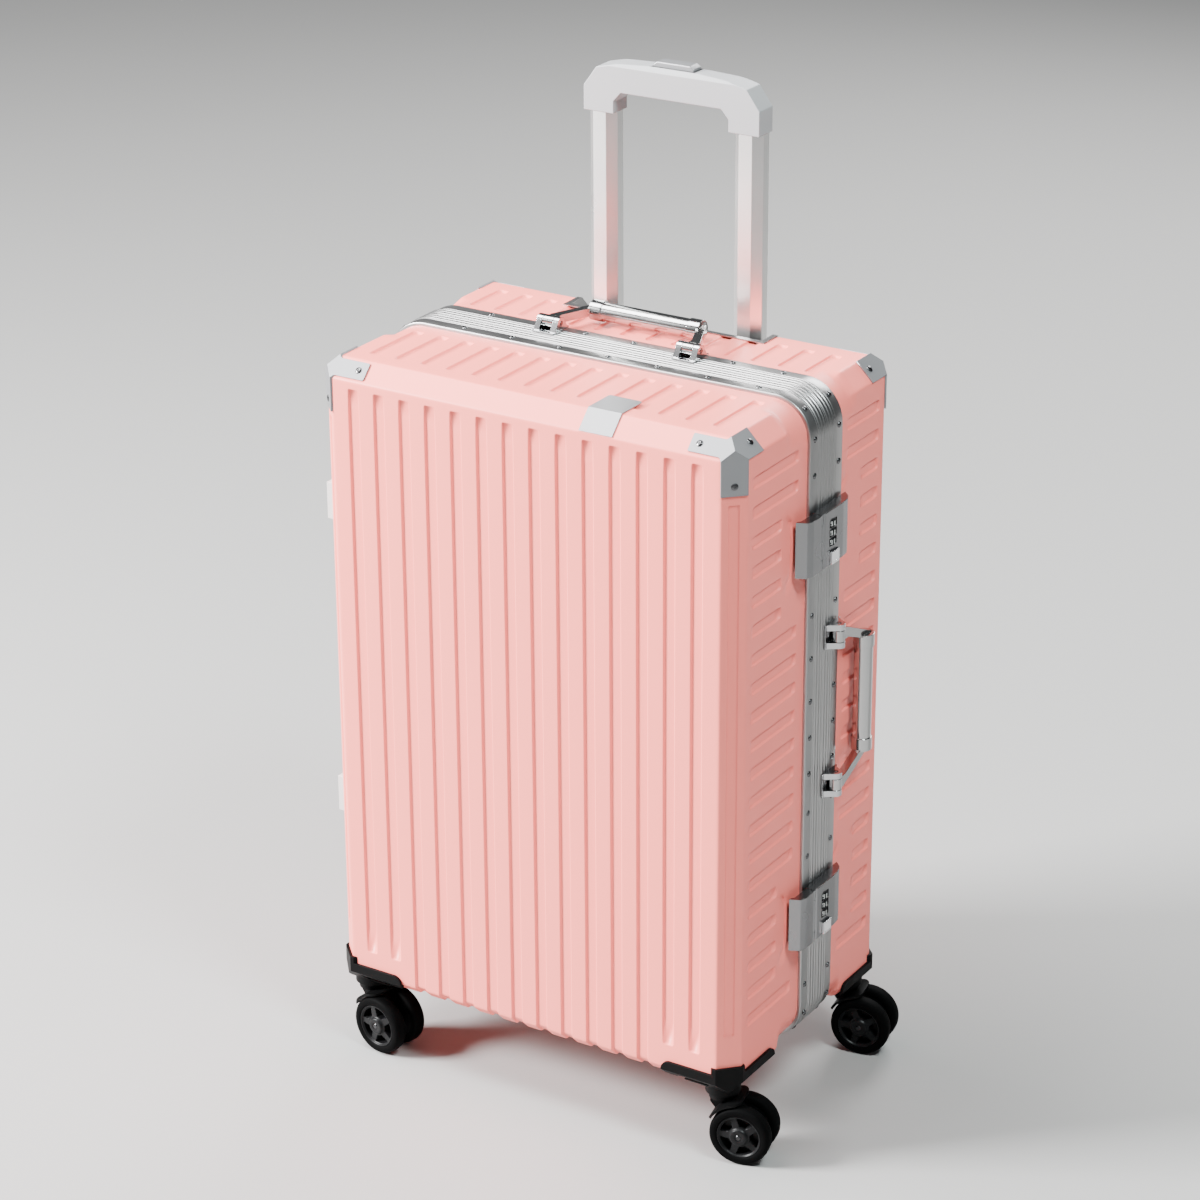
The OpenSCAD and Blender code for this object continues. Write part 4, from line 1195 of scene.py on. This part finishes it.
class SUITCASE_OT_castors(Operator):
    """Make the castor housings, forks, axles and twin wheels"""
    bl_idname = "suitcase.castors"
    bl_label = "Castors"

    def execute(self, context):
        def at_housing_top(e):
            p, q = (v.co / MM for v in e.verts)
            return (p - q).length < 3.8 and e.calc_face_angle(0) > radians(32) and all(
                c.z > BASE_Z + 17.5 and abs(c.x) > HALF_W - 21 and abs(c.y) > -FACE_Y - 21 for c in (p, q))
        for name in ("front", "back"):
            fitting(name + "_corner_housings", name + "_castor_housings", name + "_half", "castor_plastic",
                    castor_plastic(), 0.9, segments=3, corners=at_housing_top, corner=5.0)
        for name in CASTORS:
            body = name + "_castor"
            trim = (wheel_cover_outline(), castor_place(name), -20, BASE_Z + 20)
            fitting(name + "_castor_fork", name + "_fork", body, "castor_plastic", castor_plastic(), 0.9, segments=3,
                    trim=trim)
            at = castor_place(name) @ Matrix.Translation((TRAIL, 0, WHEEL_R))
            cap = WHEEL_OFF + WHEEL_W
            rod = [(0, -cap), (2.2, -cap), (3, -cap + 0.8), (3, cap - 0.8), (2.2, cap), (0, cap)]
            points, faces = lathe(rod, (0, 1, 0), 24)
            place(outward(mesh_piece(name + "_axle_rod", carried(points, at), faces, sharp=40)), body, "axle_steel",
                  axle_steel(), name + "_axle")
            for letter, side in (("a", -1), ("b", 1)):
                turn = at @ Matrix.Translation((0, side * WHEEL_OFF, 0)) @ Matrix.Rotation(radians(-90 * side), 4, "X")
                wheel = f"{name}_wheel_{letter}"
                points, faces = wheel_rings(TYRE_ROWS, 72)
                place(outward(mesh_piece(wheel + "_tyre", carried(points, turn), faces, sharp=50)), wheel,
                      "wheel_tyre", tyre_rubber())
                points, faces = wheel_rings(HUB_ROWS, 120, spoke_gap)
                place(outward(mesh_piece(wheel + "_hub", carried(points, turn), faces, sharp=50)), wheel,
                      "castor_plastic", black_plastic("wheel_hub_plastic", 0.38), wheel)
        return {"FINISHED"}


# ---------------------------------------------------------------- linings and straps
LINING_BACK = 116.0            # how far back the back lining reaches


def lining(name):
    """A cloth-covered lining: two skins over the half's form, drawn into small gathers towards the rim."""
    half = HALVES[name]
    face = FACE_Y if name == "front" else -LINING_BACK
    xs = list(np.linspace(-LAST_X, LAST_X, 75))
    zs = list(np.linspace(FIRST_ROW, LAST_ROW, 111))
    if name == "back":
        xs = spaced([-LAST_X, LAST_X, -POCKET_X - 2.8, POCKET_X + 2.8], xs, 1.5)
        zs = spaced([zs[0], zs[-1], TOP_Z - POCKET_DROP - 2.8], zs, 1.5)
    rim = (-6.0 if name == "front" else -26.0) - face
    depths = spaced([0, 4, 8.5, 13, 17, 21, rim], list(np.arange(25, rim - 2, 5.0)), 1.5)
    if name == "back":
        depths = spaced([15.0] + depths, [], 1)
    field = lambda p: half_field(p, half["step"], 3.0, face)
    p, faces = half_grid(xs, zs, zs, depths, face)

    def skin(level):
        q = settle(p, field, level)
        y = q[:, 1] - face
        near = np.exp(-np.maximum(rim - y, 0) / 16.0)
        side = np.minimum(HALF_W - np.abs(q[:, 0]), np.minimum(TOP_Z - q[:, 2], q[:, 2] - BASE_Z)) < 12
        along = np.where(HALF_W - np.abs(q[:, 0]) < 12, q[:, 2], q[:, 0])
        ripple = near * (0.5 + 0.5 * np.sin(along * 2 * pi / 12.5 + 1.3 * np.sin(along / 31.0))) * side
        soft = np.sin(q[:, 0] / 37.0 + 0.7 * np.sin(q[:, 2] / 51.0)) * np.sin(q[:, 2] / 43.0)
        return settle(q, field, level - 1.6 * ripple - 0.35 - 0.35 * soft)

    outer, inner = skin(-3.5), skin(-4.6)
    inner[:, 1] = np.minimum(inner[:, 1], rim + face)
    bm = two_skins(outer, faces, inner, faces, half["turn"])
    pairs = [lambda c: abs(c.y) < abs(rim + face) + 3]
    if name == "back":
        open_pocket(bm, lambda c: abs(c.x) < 111 and c.y > 101 and c.z > TOP_Z - 49)
        pairs.append(lambda c: c.y > 90)
    bridge_open_edges(bm, pairs)
    obj = bm_piece(name + "_cloth_lining", bm, sharp=70)
    place(obj, name + "_half", "lining_cloth", lining_cloth(), name + "_lining")
    return obj


class SUITCASE_OT_linings(Operator):
    """Fit the cloth linings of both halves"""
    bl_idname = "suitcase.linings"
    bl_label = "Linings"

    def execute(self, context):
        lining("front")
        lining("back")
        return {"FINISHED"}


STRAP_Y, STRAP_X, STRAP_ENDS = 110.35, 186.0, (BASE_Z + 90, BASE_Z + 510)
BUCKLE_Z = BASE_Z + 300
STRAP_HALF, STRAP_THICK = 12.5, 0.62   # half the width and half the thickness of the webbing


def strap_arm(side, end):
    """One arm of the crossed straps, from its sewn corner to the buckle, bowing a little into the case."""
    start = Vector((side * (STRAP_X - 9), 0, end))
    stop = Vector((side * 12, 0, BUCKLE_Z + (end - BUCKLE_Z) * 0.08))
    way = (stop - start).normalized()
    across = Vector((-way.z, 0, way.x))
    rings, steps = [], 40
    for k in range(steps + 1):
        t = k / steps
        centre = start.lerp(stop, t)
        bow = 3.2 * sin(pi * t) ** 1.5
        section = []
        for u, v in ((-1, -0.6), (-0.985, -1), (0, -1), (0.985, -1), (1, -0.6), (1, 0.6), (0.985, 1), (0, 1),
                     (-0.985, 1), (-1, 0.6)):
            p = centre + across * (u * STRAP_HALF)
            section.append((p.x, STRAP_Y - bow + v * STRAP_THICK, p.z))
        rings.append(section)
    return loft(rings, closed=False), start, way, across


def seam_spots(start, way, across, count):
    """Stitches of the square and cross that sew a strap down; each has its place and direction."""
    corners = [start + way * u + across * v for u, v in ((3, -9.5), (3, 9.5), (22, 9.5), (22, -9.5))]
    lines = [(corners[k], corners[(k + 1) % 4]) for k in range(4)]
    lines += [(corners[0], corners[2]), (corners[1], corners[3])]
    spots = []
    for a, b in lines:
        for k in range(count):
            p = a.lerp(b, (k + 0.5) / count)
            spots.append(((p.x, STRAP_Y - 0.75, p.z), tuple((b - a).normalized())))
    return spots


class SUITCASE_OT_straps(Operator):
    """Lay the crossed packing straps, sew them down and close their buckle"""
    bl_idname = "suitcase.straps"
    bl_label = "Packing straps"

    def execute(self, context):
        parts, spots = [], []
        for side in (-1, 1):
            for end in STRAP_ENDS:
                arm, start, way, across = strap_arm(side, end)
                parts.append(arm)
                spots += seam_spots(start, way, across, settings("case_trim").stitches)
        straps = outward(mesh_piece("packing_webbing", *joined(parts), sharp=40))
        place(straps, "back_half", "strap_webbing", webbing(), "packing_straps")
        tree = head_tree("stitches", rivet_head, thread(), Radius=0.00028, Height=0.0008)
        place(stamped("strap_stitches", spots, tree, Radius=0.00028, Height=0.0008), "back_half", "strap_webbing",
              thread())
        fitting("webbing_buckle", "strap_buckle", "back_half", "buckle_plastic",
                black_plastic("buckle_plastic", 0.4), 1.6, segments=3)
        return {"FINISHED"}


# ---------------------------------------------------------------- stage
# each light's place in metres, the side of its square, its share of the key light and its tint
LIGHTS = (("key", (-2.9, -2.3, 2.2), 1.1, 1.0, (1.0, 1.0, 1.0)),
          ("top", (-1.2, -0.5, 3.2), 1.6, 0.20, (1.0, 1.0, 1.0)),
          ("side", (1.9, -0.7, 3.3), 0.8, 0.18, (0.90, 1.0, 1.0)),
          ("back", (-0.4, 3.4, 2.2), 1.6, 0.13, (1.0, 1.0, 1.0)))
FLOOR_REACH = 9000
LIT_POINT, CAMERA_POINT = Vector((0, 0, 0.42)), Vector((-0.00732, 0, 0.4779))   # what the lights and camera face


class SUITCASE_OT_stage(Operator):
    """Set up the plain floor, the soft lights and the camera"""
    bl_idname = "suitcase.stage"
    bl_label = "Floor, lights and camera"

    def execute(self, context):
        s = settings("case_stage")
        r = FLOOR_REACH
        floor = mesh_piece("floor", [(-r, -r, 0), (r, -r, 0), (r, r, 0), (-r, r, 0)], [(0, 1, 2, 3)])
        floor.data.materials.append(finish_material("plain_floor", s.floor, 0.6, vary=0.01, rough_vary=0.02,
                                                    grain=60, bump=0.02, blotch=0.7))
        world = bpy.data.worlds.new("soft_room")
        world.use_nodes = True
        world.node_tree.nodes["Background"].inputs["Color"].default_value = (0.86, 0.90, 0.94, 1)
        world.node_tree.nodes["Background"].inputs["Strength"].default_value = s.fill
        context.scene.world = world
        for name, at, side, power, tint in LIGHTS:
            light = bpy.data.lights.new(name, "AREA")
            light.shape, light.size, light.size_y = "RECTANGLE", side, side
            light.energy = s.key * power
            light.color = tint
            lamp = bpy.data.objects.new(name + "_light", light)
            lamp.location = at
            lamp.rotation_euler = (Vector(at) - LIT_POINT).to_track_quat("Z", "Y").to_euler()
            context.scene.collection.objects.link(lamp)
        az, el = s.azimuth, s.elevation
        back = Vector((sin(az) * cos(el), -cos(az) * cos(el), sin(el)))
        right = (-back).cross(Vector((0, 0, 1))).normalized()
        up = right.cross(-back)
        right, up = cos(s.roll) * right + sin(s.roll) * up, cos(s.roll) * up - sin(s.roll) * right
        camera = bpy.data.cameras.new("camera")
        camera.lens, camera.sensor_width = 106.5, 36
        made = bpy.data.objects.new("camera", camera)
        context.scene.collection.objects.link(made)
        axes = Matrix((right, up, back)).transposed().to_4x4()
        made.matrix_world = Matrix.Translation(CAMERA_POINT + back * s.distance) @ axes
        context.scene.camera = made
        return {"FINISHED"}


# ---------------------------------------------------------------- panel and start
PIECES = (SUITCASE_OT_shells, SUITCASE_OT_frame, SUITCASE_OT_rivets, SUITCASE_OT_guards, SUITCASE_OT_linings,
          SUITCASE_OT_straps, SUITCASE_OT_trolley, SUITCASE_OT_handles, SUITCASE_OT_locks, SUITCASE_OT_hinges,
          SUITCASE_OT_castors)
GROUPS = {"case_shell": ShellSettings, "case_metal": MetalSettings, "case_trim": TrimSettings,
          "case_stage": StageSettings}


class SUITCASE_PT_panel(Panel):
    """Sizes, colours and the pieces in the order in which they are made"""
    bl_label = "Hard shell suitcase"
    bl_idname = "SUITCASE_PT_panel"
    bl_space_type = "VIEW_3D"
    bl_region_type = "UI"
    bl_category = "Suitcase"

    def draw(self, context):
        for key, group in GROUPS.items():
            box = self.layout.box()
            for name in group.__annotations__:
                box.prop(getattr(context.scene, key), name)
        for operator in PIECES + (SUITCASE_OT_stage,):
            self.layout.operator(operator.bl_idname)


CLASSES = tuple(GROUPS.values()) + PIECES + (SUITCASE_OT_stage, SUITCASE_PT_panel)


def register():
    for made in CLASSES:
        bpy.utils.register_class(made)
    for key, group in GROUPS.items():
        setattr(bpy.types.Scene, key, PointerProperty(type=group))


def unregister():
    for key in GROUPS:
        delattr(bpy.types.Scene, key)
    for made in reversed(CLASSES):
        bpy.utils.unregister_class(made)


def main():
    register()
    for operator in (SUITCASE_OT_stage,) + PIECES:
        family, name = operator.bl_idname.split(".")
        getattr(getattr(bpy.ops, family), name)()


if __name__ == "__main__":
    main()
